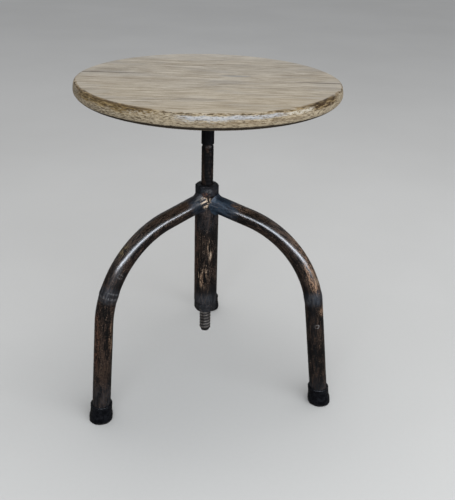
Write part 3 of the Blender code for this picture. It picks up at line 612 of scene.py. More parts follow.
    # the rim, in millimetres below the top: long wandering streaks break every band
    wave = g.noise(g.scale(p, (36.0, 36.0, 36.0)), 1.0, 3.0, 0.55)
    jag = g.noise(g.scale(p, (150.0, 150.0, 420.0)), 1.0, 4.0, 0.65)
    deep = g.plus(mm, g.plus(g.times(g.minus(wave, 0.5), 7.0), g.times(g.minus(jag, 0.5), 5.0)))
    soft = g.plus(mm, g.plus(g.times(g.minus(wave, 0.5), 6.0), g.times(g.minus(jag, 0.5), 1.6)))
    streaks = g.noise(g.scale(p, (60.0, 60.0, 900.0)), 1.0, 4.0, 0.64)
    short = g.noise(g.scale(p, (210.0, 210.0, 1300.0)), 1.0, 3.0, 0.62)

    # brown side grain
    brown = g.times(side, g.step(g.plus(g.times(streaks, 0.55), g.times(short, 0.45)), 0.42, 0.56))
    colour = g.mix(g.times(side, 0.62), colour, (0.235, 0.184, 0.118))
    colour = g.mix(g.times(brown, 0.52), colour, (0.360, 0.292, 0.196))
    colour = g.mix(g.both(side, g.step(short, 0.475, 0.40), 0.85), colour, (0.060, 0.042, 0.026))

    colour = g.mix(g.both(side, g.step(short, 0.53, 0.60), 0.50), colour, (0.420, 0.360, 0.272))

    # golden-brown stain at the left, dark brown streaks at the right
    left = g.band(angle, -151.0, -108.0, 6.0)
    right = g.band(angle, -62.0, -25.0, 5.0)
    corner_r = g.step(rim, -0.0042, -0.0008)
    colour = g.mix(g.both(g.either(left, g.times(right, 0.75)), corner_r, g.band(deep, -7.2, 2.5, 1.6), g.step(streaks, 0.39, 0.50), 0.90), colour, (0.178, 0.116, 0.042))
    tongue = g.step(g.plus(g.times(streaks, 0.5), g.times(jag, 0.5)), 0.545, 0.475)
    colour = g.mix(g.both(g.band(angle, -45.0, -24.0, 3.5), corner_r, g.band(deep, -7.5, 2.5, 1.3), tongue, 0.96), colour, (0.045, 0.026, 0.013))
    run = g.plus(g.times(rim, 1000.0), g.plus(g.times(g.minus(wave, 0.5), 11.0), g.times(g.minus(jag, 0.5), 4.0)))
    broken = g.step(g.plus(g.times(short, 0.5), g.times(streaks, 0.5)), 0.56, 0.47)
    colour = g.mix(g.both(g.band(angle, -43.0, -25.0, 3.0), g.band(run, -1.8, 4.4, 0.7), broken, 0.97), colour, (0.028, 0.0165, 0.008))
    colour = g.mix(g.both(g.band(angle, -155.0, -122.0, 5.0), g.band(run, -1.4, 3.0, 0.6), broken, 0.94), colour, (0.050, 0.031, 0.014))
    colour = g.mix(g.both(g.band(angle, -154.0, -112.0, 5.0), corner_r, g.band(deep, -5.8, 2.5, 1.3), tongue, 0.88), colour, (0.062, 0.039, 0.019))
    # pale yellow streaks left in the stain
    colour = g.mix(g.both(left, corner_r, g.band(deep, -9.0, 1.0, 1.6), g.step(g.plus(g.times(streaks, 0.6), g.times(short, 0.4)), 0.525, 0.575), 0.72), colour, (0.375, 0.285, 0.155))
    colour = g.mix(g.both(left, side, g.band(deep, -15.0, -8.0, 1.4), g.step(short, 0.54, 0.44), 0.55), colour, (0.085, 0.062, 0.036))

    # painted highlight and shade on the front of the rim: an unbroken pale band painted along the rounded upper part of
    # the edge where it catches the light, paler flecks either side of it, and a darker brown band painted below it as
    # shade
    front = g.band(angle, -98.0, -58.0, 4.0)
    near = g.band(angle, -121.0, -44.0, 5.0)
    pale = g.plus(g.times(short, 0.40), g.plus(g.times(crumb, 0.25), g.times(streaks, 0.35)))
    # painted highlight: the pale band and its brighter streaks in front
    colour = g.mix(g.both(side, front, g.band(soft, -6.9, -2.6, 0.7), g.step(pale, 0.42, 0.47), 0.92), colour, (0.270, 0.270, 0.280))
    colour = g.mix(g.both(side, front, g.band(soft, -5.4, -2.8, 0.6), g.step(pale, 0.48, 0.53), 0.80), colour, (0.44, 0.44, 0.448))
    colour = g.mix(g.both(side, g.band(angle, -56.5, -43.5, 1.5), g.band(soft, -6.6, -2.9, 0.8), g.step(pale, 0.46, 0.50), 0.85), colour, (0.47, 0.43, 0.36))
    colour = g.mix(g.both(side, g.band(angle, -100.0, -78.0, 4.0), g.band(deep, -10.0, -6.4, 0.9), g.step(pale, 0.515, 0.55), 0.90), colour, (0.37, 0.355, 0.33))
    colour = g.mix(g.both(side, near, g.band(soft, -7.2, -2.0, 0.9), g.step(pale, 0.540, 0.575), 0.90), colour, (0.41, 0.375, 0.325))
    # painted shade: darker brown across the lower front of the edge
    colour = g.mix(g.both(side, g.band(angle, -100.0, -48.0, 6.0), g.band(deep, -12.6, -9.0, 1.0), g.step(streaks, 0.42, 0.50), 0.62), colour, (0.135, 0.095, 0.056))
    colour = g.mix(g.both(side, g.band(angle, -120.0, -107.0, 2.0), g.band(soft, -7.5, -3.4, 0.9), g.step(pale, 0.46, 0.52), 0.75), colour, (0.36, 0.305, 0.225))

    # where the top turns over: a golden-brown line, black in places
    turn = g.noise(g.scale(p, (46.0, 46.0, 46.0)), 1.0, 4.0, 0.6)
    corner = g.band(g.plus(rim, g.times(g.minus(turn, 0.5), 0.0050)), -0.0010, 0.0034, 0.0008)
    fronts = g.step(g.math("SINE", g.math("ARCTAN2", y, x)), 0.10, -0.25)
    colour = g.mix(g.both(corner, fronts, g.step(g.plus(g.times(turn, 0.5), g.times(jag, 0.5)), 0.46, 0.55), 0.80), colour, (0.165, 0.106, 0.042))
    seam = g.both(g.band(g.plus(rim, g.times(g.minus(turn, 0.5), 0.0050)), 0.0012, 0.0034, 0.0005), g.step(jag, 0.46, 0.54), fronts)
    colour = g.mix(g.times(seam, 0.85), colour, (0.050, 0.034, 0.018))

    # the tuck under the edge is painted near-black as shade; below it the board is bare, dull and planed rough
    under = g.step(g.plus(mm, g.times(g.minus(jag, 0.5), 2.0)), -17.6, -21.5)
    belly = g.ramp(g.plus(g.times(tone, 0.80), g.times(cloud, 0.20)), [(0.43, (0.095, 0.072, 0.050)), (0.50, (0.165, 0.130, 0.093)), (0.57, (0.240, 0.196, 0.146))])
    colour = g.mix(g.times(under, 0.92), colour, belly)
    # painted shade: a near-black band in the tuck under the rounded edge
    low = g.times(g.step(g.plus(mm, g.times(g.minus(jag, 0.5), 3.0)), -15.2, -16.8), g.step(mm, -23.5, -18.5))
    colour = g.mix(g.times(low, 0.95), colour, (0.018, 0.0125, 0.0085))

    rough = g.plus(0.52, g.plus(g.times(g.minus(tone, 0.5), -0.40), g.times(side, 0.04)))
    height = g.plus(g.times(tone, 0.60), g.plus(g.times(fibre, 0.40), g.times(line, 0.30)))
    height = g.minus(height, g.times(g.step(pore, 0.0, 0.25, 1.0, 0.0), 0.30))
    height = g.plus(height, g.times(g.times(side, g.plus(short, streaks)), 0.8))
    normal = g.bump(height, 0.32, 0.0006)
    return g.finish(colour, rough, 0.0, normal, (0.36, 0.30, 0.225), Specular_IOR_Level=g.minus(0.26, g.times(g.step(rim, -0.0015, 0.0015), 0.18)))


def crack_wood():
    """The raw inside of the drying checks, with painted shade: darker the deeper it goes."""
    g = Graph("check_wood")
    p = g.obj()
    fibre = g.noise(g.scale(p, (60.0, 1400.0, 700.0)), 1.0, 4.0, 0.65)
    x, y, z = g.xyz(p)
    # painted shade: darker with depth in the check
    deep = g.step(z, -0.0002, -0.0035)
    colour = g.mix(g.step(fibre, 0.35, 0.65), (0.050, 0.037, 0.027), (0.120, 0.092, 0.066))
    colour = g.mix(deep, colour, (0.012, 0.009, 0.007))
    return g.finish(colour, 0.85, 0.0, g.bump(fibre, 0.5, 0.0006), (0.05, 0.04, 0.03), Specular_IOR_Level=0.2)


# ------------------------------------------------------------------ seat slab
def seat_outline():
    """(radius, height, distance past the edge of the flat top) down the turned outline."""
    shape = [(0.0014, 0.0)]
    r = 0.006
    while r < 0.1630:
        shape.append((r, 0.0))
        r += 0.0052
    flat_r = 0.1703
    shape += [(0.1650, 0.0), (0.1680, 0.0), (flat_r, -0.00004)]
    # the corner is rubbed round, runs down to the widest place, then tucks in under the slab
    for t in np.linspace(0.10, 1.0, 16):
        a = 0.5 * math.pi * t
        shape.append((flat_r + 0.0037 * math.sin(a), -0.00004 - 0.0028 * (1 - math.cos(a))))
    for t in np.linspace(0.0, 1.0, 12)[1:]:
        shape.append((0.1740 + 0.0010 * math.sin(0.5 * math.pi * t), -0.00284 - 0.0072 * t))
    w_r, w_z = shape[-1]
    for t in np.linspace(0.0, 1.0, 34)[1:]:
        a = 0.5 * math.pi * t
        shape.append((0.1430 + (w_r - 0.1430) * math.cos(a), w_z - (SEAT_THICK + w_z) * math.sin(a)))
    r = 0.1430 - 0.006
    while r > 0.006:
        shape.append((r, -SEAT_THICK))
        r -= 0.006
    shape.append((0.0014, -SEAT_THICK))
    arc, past = 0.0, []
    for i, (r, z) in enumerate(shape):
        if i:
            arc += math.hypot(r - shape[i - 1][0], z - shape[i - 1][1])
        past.append(arc)
    base = past[[i for i, q in enumerate(shape) if q[0] == flat_r][0]]
    return [(r, z, s - base) for (r, z), s in zip(shape, past)]


def check_blade(name, y0, tip, mat, seed):
    """The space a drying check leaves: a thin wandering wedge from the rim in to its tip."""
    sign = 1.0 if tip > 0 else -1.0
    outer = SEAT_R + 0.004
    rings, n = [], 46
    for i in range(n + 1):
        t = i / n
        x = sign * (abs(tip) + (outer - abs(tip)) * t)
        wander = 0.0010 * mnoise.noise(Vector((x * 38 + seed, seed, 0))) + 0.00022 * mnoise.noise(Vector((x * 260, seed, 1)))
        half = 0.00010 + 0.00105 * t ** 0.75 * (1 + 0.35 * mnoise.noise(Vector((x * 120, seed, 2))))
        deep = 0.0007 + 0.0068 * t ** 0.7
        y = y0 + wander
        rings.append([(x, y - half, 0.002), (x, y - 0.8 * half, -0.25 * deep), (x, y - 0.12 * half, -deep), (x, y + 0.12 * half, -deep), (x, y + 0.8 * half, -0.25 * deep), (x, y + half, 0.002)])
    verts = [v for ring in rings for v in ring]
    mesh = new_mesh(name, verts, grid_faces(len(rings), 6, False, True))
    mesh.materials.append(mat)
    return link(bpy.data.objects.new(name, mesh))


def build_seat():
    wood, crack = seat_wood(), crack_wood()
    outline, n = seat_outline(), 300
    verts, rim = [], []
    for r, z, s in outline:
        for k in range(n):
            a = TAU * k / n
            c, d = math.cos(a), math.sin(a)
            p = (r * c, r * d, z)
            rr, zz = r, z
            if s > -0.004:      # rim: slightly out of round, knocked and rubbed
                fade = min(1.0, (s + 0.004) / 0.006) * min(1.0, max(0.0, (0.052 - s) / 0.02))
                rr -= fade * (0.00022 * (1 + wobble(p, 14, 3.0)) + 0.00018 * (1 + wobble(p, 70, 9.0)))
                knock = wobble((c * 0.175, d * 0.175, 0.0), 42, 21.0)
                if knock > 0.35 and s < 0.010:
                    rr -= 0.0011 * (knock - 0.35) * fade
                    zz -= 0.0006 * (knock - 0.35) * fade
            if z > -0.001:      # top: hollows a little between the harder grain
                zz -= 0.00012 * (1 + wobble((r * c * 0.15, r * d, 0.0), 55, 5.0)) + 0.00006 * (1 + wobble((r * c * 0.12, r * d, 0.0), 190, 2.0))
            verts.append((rr * c, rr * d, zz))
            rim.append(s)
    mesh = new_mesh("seat_board", verts, grid_faces(len(outline), n, False, True), extra={"rim": rim})
    mesh.materials.append(wood)
    obj = link(bpy.data.objects.new("seat_board", mesh))
    apply_boolean(obj, check_blade("blade_left", 0.0231, -0.088, crack, 2.0))
    apply_boolean(obj, check_blade("blade_right", -0.0043, 0.115, crack, 6.0))
    for k in range(4):
        a = math.radians(45 + 90 * k)
        hole = lathe_mesh("pilot", [(0.0026, -0.0270), (0.0026, -0.0088)], 16, centre=(SCREW_CIRCLE_R * math.cos(a), SCREW_CIRCLE_R * math.sin(a)))
        hole.materials.append(crack)
        apply_boolean(obj, link(bpy.data.objects.new("pilot", hole)))
    mesh = obj.data
    bpy.data.objects.remove(obj)
    piece("seat_board", mesh, None, "seat", "seat_slab", angle=38)


# ------------------------------------------------------------------ plate, screws, collar
def build_plate(mat):
    b, t = PLATE_BOTTOM, PLATE_TOP
    outline = rounded([(0.0065, b), (PLATE_R, b), (PLATE_R, t), (0.0065, t)], [0.0002, 0.0009, 0.0006, 0.0002])
    obj = link(bpy.data.objects.new("seat_plate_steel", lathe_mesh("seat_plate_steel", refine(outline, 0.006, True), 144, loop=True)))
    obj.data.materials.append(mat)
    for k in range(4):
        a = math.radians(45 + 90 * k)
        hole = lathe_mesh("hole", [(0.0026, b - 0.002), (0.0026, t + 0.002)], 24, centre=(SCREW_CIRCLE_R * math.cos(a), SCREW_CIRCLE_R * math.sin(a)))
        hole.materials.append(mat)
        apply_boolean(obj, link(bpy.data.objects.new("hole", hole)))
    mesh = obj.data
    bpy.data.objects.remove(obj)
    piece("seat_plate_steel", mesh, None, "seat", "seat_plate", angle=50)


def helix_mesh(name, z0, turns, pitch, per_turn, profile, radius_of, low, high, centre=(0.0, 0.0)):
    """A thread as one helical skin.  profile gives (share of the pitch, share of the depth from root to crest); radius_of turns a depth share
    and a height into a radius.  low and high are the plain rings that close the two ends, as (radius, height) lists from the thread outwards."""
    rows = len(profile)
    total = turns * rows + 1
    cx, cy = centre
    verts = []

    def point(r, a, z):
        verts.append((cx + r * math.cos(a), cy + r * math.sin(a), z))
        return len(verts) - 1

    grid = []
    for i in range(per_turn):
        a = TAU * i / per_turn
        column = []
        for j in range(total):
            share, depth = profile[j % rows]
            z = z0 + pitch * (j // rows + share + i / per_turn)
            column.append(point(radius_of(depth, z), a, z))
        grid.append(column)
    faces = []

    def ring(r, z):
        return [point(r, TAU * i / per_turn, z) for i in range(per_turn)]

    lows, highs = [ring(r, z) for r, z in low], [ring(r, z) for r, z in high]
    for i in range(per_turn):
        m, shift = (i + 1) % per_turn, (rows if i == per_turn - 1 else 0)
        a, b = grid[i], grid[m]
        for j in range(total - 1):
            if j + 1 + shift < total:
                faces.append((a[j], b[j + shift], b[j + 1 + shift], a[j + 1]))
        faces.append((lows[0][i], lows[0][m], b[shift], a[0]))
        if i == per_turn - 1:
            faces.append(tuple([lows[0][m]] + [b[j] for j in range(shift + 1)]))
            faces.append(tuple([highs[0][m], highs[0][i]] + [a[j] for j in range(total - 1, total - 2 - rows, -1)] + [b[total - 1]]))
        else:
            faces.append((a[total - 1], b[total - 1], highs[0][m], highs[0][i]))
    for rings, flip in ((lows, True), (highs, False)):
        for r0, r1 in zip(rings, rings[1:]):
            for i in range(per_turn):
                m = (i + 1) % per_turn
                faces.append((r0[i], r0[m], r1[m], r1[i]))
        faces.append(tuple(rings[-1]))
    return new_mesh(name, verts, faces)


def build_screws(mat):
    head_h, head_r, seat_z = 0.0026, 0.0045, PLATE_BOTTOM - 0.0003
    for k in range(4):
        a = math.radians(45 + 90 * k)
        cx, cy = SCREW_CIRCLE_R * math.cos(a), SCREW_CIRCLE_R * math.sin(a)
        tip = seat_z + 0.019
        profile = [(0.0, 0.0), (0.16, 0.1), (0.40, 1.0), (0.52, 1.0), (0.74, 0.1), (0.88, 0.0)]

        def radius_of(depth, z, tip=tip):
            taper = max(0.0, min(1.0, (tip - 0.0006 - z) / 0.006))
            return (0.00055 + 0.00095 * taper) + depth * 0.00065 * (0.35 + 0.65 * taper)

        dome = [(0.0022, seat_z)] + fillet((0.0022, seat_z), (head_r, seat_z), (head_r, seat_z - 0.3 * head_h), 0.0003)
        dome += [(head_r * math.cos(0.5 * math.pi * t) ** 0.85, seat_z - head_h * (0.32 + 0.68 * math.sin(0.5 * math.pi * t))) for t in np.linspace(0.08, 0.93, 8)]
        mesh = helix_mesh("screw", seat_z + 0.0052, 6, 0.0018, 20, profile, radius_of,
                          [(0.0015, seat_z + 0.0048), (0.0022, seat_z + 0.0044)] + dome, [(0.0006, tip - 0.0008), (0.0002, tip)], (cx, cy))
        mesh.materials.append(mat)
        obj = link(bpy.data.objects.new("screw", mesh))
        bm = bmesh.new()
        turn = Matrix.Translation((cx, cy, seat_z - head_h)) @ Matrix.Rotation(a + 0.6 * k, 4, "Z")
        bmesh.ops.create_cube(bm, size=1.0, matrix=turn @ Matrix.Diagonal((0.012, 0.0011, 0.0022, 1.0)))
        slot = bpy.data.meshes.new("slot")
        bm.to_mesh(slot)
        bm.free()
        slot.materials.append(mat)
        apply_boolean(obj, link(bpy.data.objects.new("slot", slot)))
        mesh = obj.data
        bpy.data.objects.remove(obj)
        piece(f"wood_screw_{k + 1}", mesh, None, "seat", f"seat_screw_{k + 1}", angle=35)


def build_collar(mat):
    top, bore = PLATE_BOTTOM - 0.0003, SPIGOT_R + 0.0003
    outline = rounded([(bore, BOSS_Z), (BOSS_R, BOSS_Z), (BOSS_R, top), (bore, top)], [0.0003, 0.0008, 0.0006, 0.0002])
    piece("collar", lathe_mesh("collar", refine(outline, 0.003, True), 64, loop=True, dent=0.00005, dent_scale=120), mat, "lift_carrier", "seat_boss", angle=40)


# ------------------------------------------------------------------ spindle
def build_spindle(mat):
    start, top = TIP_Z + 0.0010, BOSS_Z - 0.0003
    turns = int((top - 0.0012 - start) / PITCH) - 1
    profile = [(0.0, 0.0), (0.10, 0.02), (0.17, 0.14), (0.25, 0.66), (0.31, 0.93), (0.38, 1.0), (0.50, 1.0), (0.62, 1.0), (0.69, 0.93), (0.75, 0.66), (0.83, 0.14), (0.90, 0.02)]

    def radius_of(depth, z):
        crest = min(ROD_R, TIP_R + 0.0002 + 0.80 * (z - TIP_Z))
        clogged = max(0.0, min(1.0, (z + H - 0.130) / 0.060))        # paint and old grease fill the thread higher up
        root = min(ROOT_R + clogged * 0.00136, crest - 0.00012)
        worn = 0.00006 * wobble((0.0, 0.0, z), 220, 4.0)
        return root + depth * (crest - root + worn)

    mesh = helix_mesh("spindle_thread", start, turns, PITCH, 48, profile, radius_of,
                      [(TIP_R + 0.0001, TIP_Z + 0.0006), (TIP_R - 0.0001, TIP_Z + 0.0002), (TIP_R - 0.0006, TIP_Z), (TIP_R * 0.5, TIP_Z)],
                      [(ROOT_R, top), (SPIGOT_R, top), (SPIGOT_R, PLATE_BOTTOM), (SPIGOT_R - 0.0004, PLATE_TOP - 0.0002), (SPIGOT_R * 0.5, PLATE_TOP - 0.0002)])
    piece("spindle_thread", mesh, mat, "seat", "spindle", angle=32)


# ------------------------------------------------------------------ nuts and hub tube
def build_nut(name, z, node, mat, seed):
    """A hexagon with rubbed corners and turned chamfers.  Every ring has the same points, so the skin stays clean."""
    n, half = 216, 0.5 * NUT_FLATS
    corner_r = half / math.cos(math.pi / 6)
    top = z + NUT_HEIGHT

    def hexagon(a):
        local = (a % (math.pi / 3)) - math.pi / 6
        r = half / math.cos(local)
        edge = math.pi / 6 - abs(local)                       # angle from the nearest corner
        soft = 0.055
        if edge < soft:
            r -= 0.00035 * (1 - edge / soft) ** 2
        return r

    face_r, slope = half + 0.0002, math.tan(math.radians(36))

    def chamfer(r):
        return max(0.0, (r - face_r + 0.0004) * slope)

    rings = []

    def ring(radius, height):
        out = []
        for k in range(n):
            a = TAU * k / n
            r, zz = radius(a), height(a)
            p = (r * math.cos(a), r * math.sin(a), zz)
            r += 0.00010 * wobble(p, 130, seed) + 0.00012 * wobble(p, 420, seed + 2)
            t = a + math.radians(NUT_TURN)
            out.append((r * math.cos(t), r * math.sin(t), zz))
        rings.append(out)

    def at(value): return lambda a: value
    ring(at(NUT_BORE_R), at(z + 0.0008))
    ring(at(NUT_BORE_R + 0.0007), at(z))
    for f in (0.25, 0.5, 0.75):
        ring(at(NUT_BORE_R + 0.0007 + f * (face_r - 0.0012 - NUT_BORE_R - 0.0007)), at(z))
    ring(at(face_r - 0.0012), at(z))
    ring(lambda a: min(face_r - 0.0006, hexagon(a) - 0.0004), at(z + 0.00003))
    ring(lambda a: hexagon(a) - 0.00030, lambda a: z + chamfer(hexagon(a)) + 0.00008)
    ring(lambda a: hexagon(a) - 0.00006, lambda a: z + chamfer(hexagon(a)) + 0.00030)
    ring(hexagon, lambda a: z + chamfer(hexagon(a)) + 0.00065)
    for f in np.linspace(0.0, 1.0, 9)[1:-1]:
        ring(hexagon, lambda a, f=f: z + chamfer(hexagon(a)) + 0.00065 + f * (NUT_HEIGHT - 2 * chamfer(hexagon(a)) - 0.0013))
    ring(hexagon, lambda a: top - chamfer(hexagon(a)) - 0.00065)
    ring(lambda a: hexagon(a) - 0.00006, lambda a: top - chamfer(hexagon(a)) - 0.00030)
    ring(lambda a: hexagon(a) - 0.00030, lambda a: top - chamfer(hexagon(a)) - 0.00008)
    ring(lambda a: min(face_r - 0.0006, hexagon(a) - 0.0004), at(top - 0.00003))
    ring(at(face_r - 0.0012), at(top))
    for f in (0.75, 0.5, 0.25):
        ring(at(NUT_BORE_R + 0.0007 + f * (face_r - 0.0012 - NUT_BORE_R - 0.0007)), at(top))
    ring(at(NUT_BORE_R + 0.0007), at(top))
    ring(at(NUT_BORE_R), at(top - 0.0008))
    verts = [v for r in rings for v in r]
    mesh = new_mesh(name, verts, grid_faces(len(rings), n, True, False))
    piece(name, mesh, mat, "frame", node, angle=34)


def build_hub(mat):
    b, t, inner = BOTTOM_NUT_Z + NUT_HEIGHT, TOP_NUT_Z - 0.0003, HUB_R - HUB_WALL
    outline = rounded([(inner, b + 0.0003), (HUB_R, b + 0.0003), (HUB_R, t), (inner, t)], [0.0003, 0.0007, 0.0007, 0.0003])
    piece("hub_column", lathe_mesh("hub_column", refine(outline, 0.0035, True), 96, loop=True, dent=0.00012, dent_scale=48, seed=11), mat, "frame", "hub_tube", angle=45)


# ------------------------------------------------------------------ legs
def leg_path(axis_z, fall, bend_r, lean, foot_r):
    fall, lean = math.radians(fall), math.radians(lean)
    t_fall, t_lean = math.tan(fall), math.tan(lean)
    corner_r = (foot_r - axis_z * t_lean) / (1.0 - t_fall * t_lean)
    corner = Vector((corner_r, axis_z - corner_r * t_fall))
    turn = 0.5 * math.pi - lean - fall
    reach = bend_r * math.tan(0.5 * turn)
    d_in, d_out = Vector((math.cos(fall), -math.sin(fall))), Vector((math.sin(lean), -math.cos(lean)))
    start, end = corner - reach * d_in, corner + reach * d_out
    centre = start + bend_r * Vector((-math.sin(fall), -math.cos(fall)))

    def on_arc(t):
        a = 0.5 * math.pi - fall - t * turn
        return centre + bend_r * Vector((math.cos(a), math.sin(a))), Vector((math.sin(a), -math.cos(a)))

    return start, end, d_in, d_out, on_arc, turn * bend_r


def saddle_point(q, d, radius):
    b, c, a = q.x * d.x + q.y * d.y, q.x * q.x + q.y * q.y - radius * radius, d.x * d.x + d.y * d.y
    return q + ((-b + math.sqrt(b * b - a * c)) / a) * d


def turned(points, azimuth, drop=-H):
    rot = Matrix.Rotation(math.radians(azimuth), 3, "Z")
    out = []
    for p in points:
        q = rot @ Vector(p)
        out.append((q.x, q.y, q.z + drop))
    return out


def tube(name, stations, azimuth, seed, segments=48, wall=LEG_WALL, clip=None, dent=0.00010):
    """A pipe along stations of (point, direction, distance).  flow holds it laid out straight: (side, up, distance)."""
    outer, inner, flow_o, flow_i = [], [], [], []
    for index, (p, d, s) in enumerate(stations):
        side, up = Vector((0.0, 1.0, 0.0)), Vector((-d.y, 0.0, d.x))
        direction = Vector((d.x, 0.0, d.y))
        ro, ri, fo, fi = [], [], [], []
        for k in range(segments):
            a = TAU * k / segments
            out = math.cos(a) * side + math.sin(a) * up
            r = LEG_R + dent * wobble((LEG_R * math.cos(a), LEG_R * math.sin(a), s), 38, seed) + 0.4 * dent * wobble((LEG_R * math.cos(a), LEG_R * math.sin(a), s), 140, seed)
            q = Vector((p.x, 0.0, p.y)) + r * out
            w = Vector((p.x, 0.0, p.y)) + (LEG_R - wall) * out
            if clip:
                q, w = clip(index, q, direction), clip(index, w, direction)
            ro.append(q); ri.append(w)
            fo.append((LEG_R * math.cos(a), LEG_R * math.sin(a), s)); fi.append(((LEG_R - wall) * math.cos(a), (LEG_R - wall) * math.sin(a), s))
        outer.append(ro); inner.append(ri); flow_o.append(fo); flow_i.append(fi)
    rings = outer + inner[::-1]
    flow = [f for ring in flow_o + flow_i[::-1] for f in ring]
    verts = turned([v for ring in rings for v in ring], azimuth)
    return new_mesh(name, verts, grid_faces(len(rings), segments, True, False), flow)


def build_leg(which, azimuth, axis_z, fall, bend_r, lean, foot_r, splice_z, mats, seed):
    start, end, d_in, d_out, on_arc, arc_length = leg_path(axis_z, fall, bend_r, lean, foot_r)
    root = Vector((HUB_R + 0.0003, axis_z - (HUB_R + 0.0003) * math.tan(math.radians(fall))))
    lo, hi = 0.0, 1.0
    for _ in range(50):
        mid = 0.5 * (lo + hi)
        lo, hi = (mid, hi) if on_arc(mid)[0].y > splice_z else (lo, mid)
    t_s = 0.5 * (lo + hi)
    s0 = (start - root).length
    s_splice = s0 + t_s * arc_length
    s_end = s0 + arc_length
    hub_face = HUB_R + 0.0003

    upper = [(root + (start - root) * f, d_in, s0 * f) for f in map(float, np.linspace(0.0, 1.0, 12)[:-1])]
    upper += [(*on_arc(t), s0 + t * arc_length) for t in map(float, np.linspace(0.0, t_s - 0.0028 / arc_length, 60))]
    lower = [(*on_arc(t), s0 + t * arc_length) for t in map(float, np.linspace(t_s + 0.0028 / arc_length, 1.0, 16))]
    reach = (end.y - 0.0068) / -d_out.y
    lower += [(end + d_out * reach * f, d_out, s_end + reach * f) for f in map(float, np.linspace(0.0, 1.0, 40)[1:])]

    def cope(index, q, d):
        return saddle_point(q, d, hub_face) if index == 0 else q

    def level_end(index, q, d):
        return q if index < len(lower) - 1 else q + ((0.0068 - q.z) / d.z) * d

    piece(f"leg_upper_{which}", tube("leg_upper", upper, azimuth, seed, clip=cope), mats["leg"], "frame", f"leg_bend_{which}", angle=50)
    piece(f"leg_lower_{which}", tube("leg_lower", lower, azimuth, seed, clip=level_end), mats["leg"], "frame", f"leg_post_{which}", angle=50)

    # the fillet of weld round the leg's root, dressed smooth under the paint
    side, up = Vector((0.0, 1.0, 0.0)), Vector((math.sin(math.radians(fall)), 0.0, math.cos(math.radians(fall))))
    axis, base = Vector((d_in.x, 0.0, d_in.y)), Vector((root.x, 0.0, root.y))
    rings, flow, count, across = [], [], 120, 9
    for k in range(count):
        a = TAU * k / count
        out = math.cos(a) * side + math.sin(a) * up
        width = 0.0011 + 0.0016 * math.sin(a) ** 2
        ripple = 1.0 + 0.10 * mnoise.noise(Vector((4 * math.cos(a), 4 * math.sin(a), seed))) + 0.07 * math.sin(26 * a + 2 * seed)
        toe_h = saddle_point(base + (LEG_R + 0.0002 + width * ripple) * out, axis, HUB_R + 0.00005)
        inner = saddle_point(base + (LEG_R - 0.0004) * out, axis, HUB_R + 0.0001)
        toe_l = saddle_point(base + (LEG_R + 0.00002) * out, axis, HUB_R) + 0.0042 * ripple * axis
        corner = saddle_point(base + (LEG_R + 0.0002) * out, axis, HUB_R + 0.0002)
        mid = corner + 0.42 * (0.5 * (toe_h + toe_l) - corner)
        ring = [inner]
        for t in map(float, np.linspace(0.0, 1.0, across - 2)):
            ring.append((1 - t) ** 2 * toe_h + 2 * t * (1 - t) * mid + t * t * toe_l)
        ring.append(toe_l - 0.0005 * out)
        rings.append(ring)
        flow += [(LEG_R * math.cos(a), LEG_R * math.sin(a), 0.0005 * i) for i in range(across)]
    mesh = new_mesh("root_weld", turned([v for ring in rings for v in ring], azimuth), grid_faces(count, across, True, False), flow)
    piece(f"root_weld_{which}", mesh, mats["leg"], "frame", f"hub_weld_{which}", angle=60)

    # the ground-back weld between the two lengths, feathered into the tube on both sides
    p_s, d_s = on_arc(t_s)
    span = 0.0095
    outer, inner, fo, fi = [], [], [], []
    for u in map(float, np.linspace(-1.0, 1.0, 25)):
        t = t_s + u * span / arc_length
        p, d = on_arc(t)
        side, up = Vector((0.0, 1.0, 0.0)), Vector((-d.y, 0.0, d.x))
        ro, ri = [], []
        for k in range(48):
            a = TAU * k / 48
            out = math.cos(a) * side + math.sin(a) * up
            crown = 0.00046 * (1 - u * u) ** 1.5 * (1.0 + 0.35 * mnoise.noise(Vector((3 * math.cos(a), 3 * math.sin(a), 2.5 * u + seed)))) + 0.00006 * math.cos(9 * u) * (1 - u * u)
            ro.append(Vector((p.x, 0.0, p.y)) + (LEG_R - 0.00004 + crown) * out)
            ri.append(Vector((p.x, 0.0, p.y)) + (LEG_R - 0.0012) * out)
            fo.append((LEG_R * math.cos(a), LEG_R * math.sin(a), s_splice + u * span))
        outer.append(ro); inner.append(ri)
    for u in map(float, np.linspace(1.0, -1.0, 25)):
        fi += [(0.011 * math.cos(TAU * k / 48), 0.011 * math.sin(TAU * k / 48), s_splice + u * span) for k in range(48)]
    rings = outer + inner[::-1]
    mesh = new_mesh("splice", turned([v for ring in rings for v in ring], azimuth), grid_faces(len(rings), 48, True, False), fo + fi)
    obj = piece(f"splice_{which}", mesh, mats["splice"], "frame", f"splice_weld_{which}", angle=60)

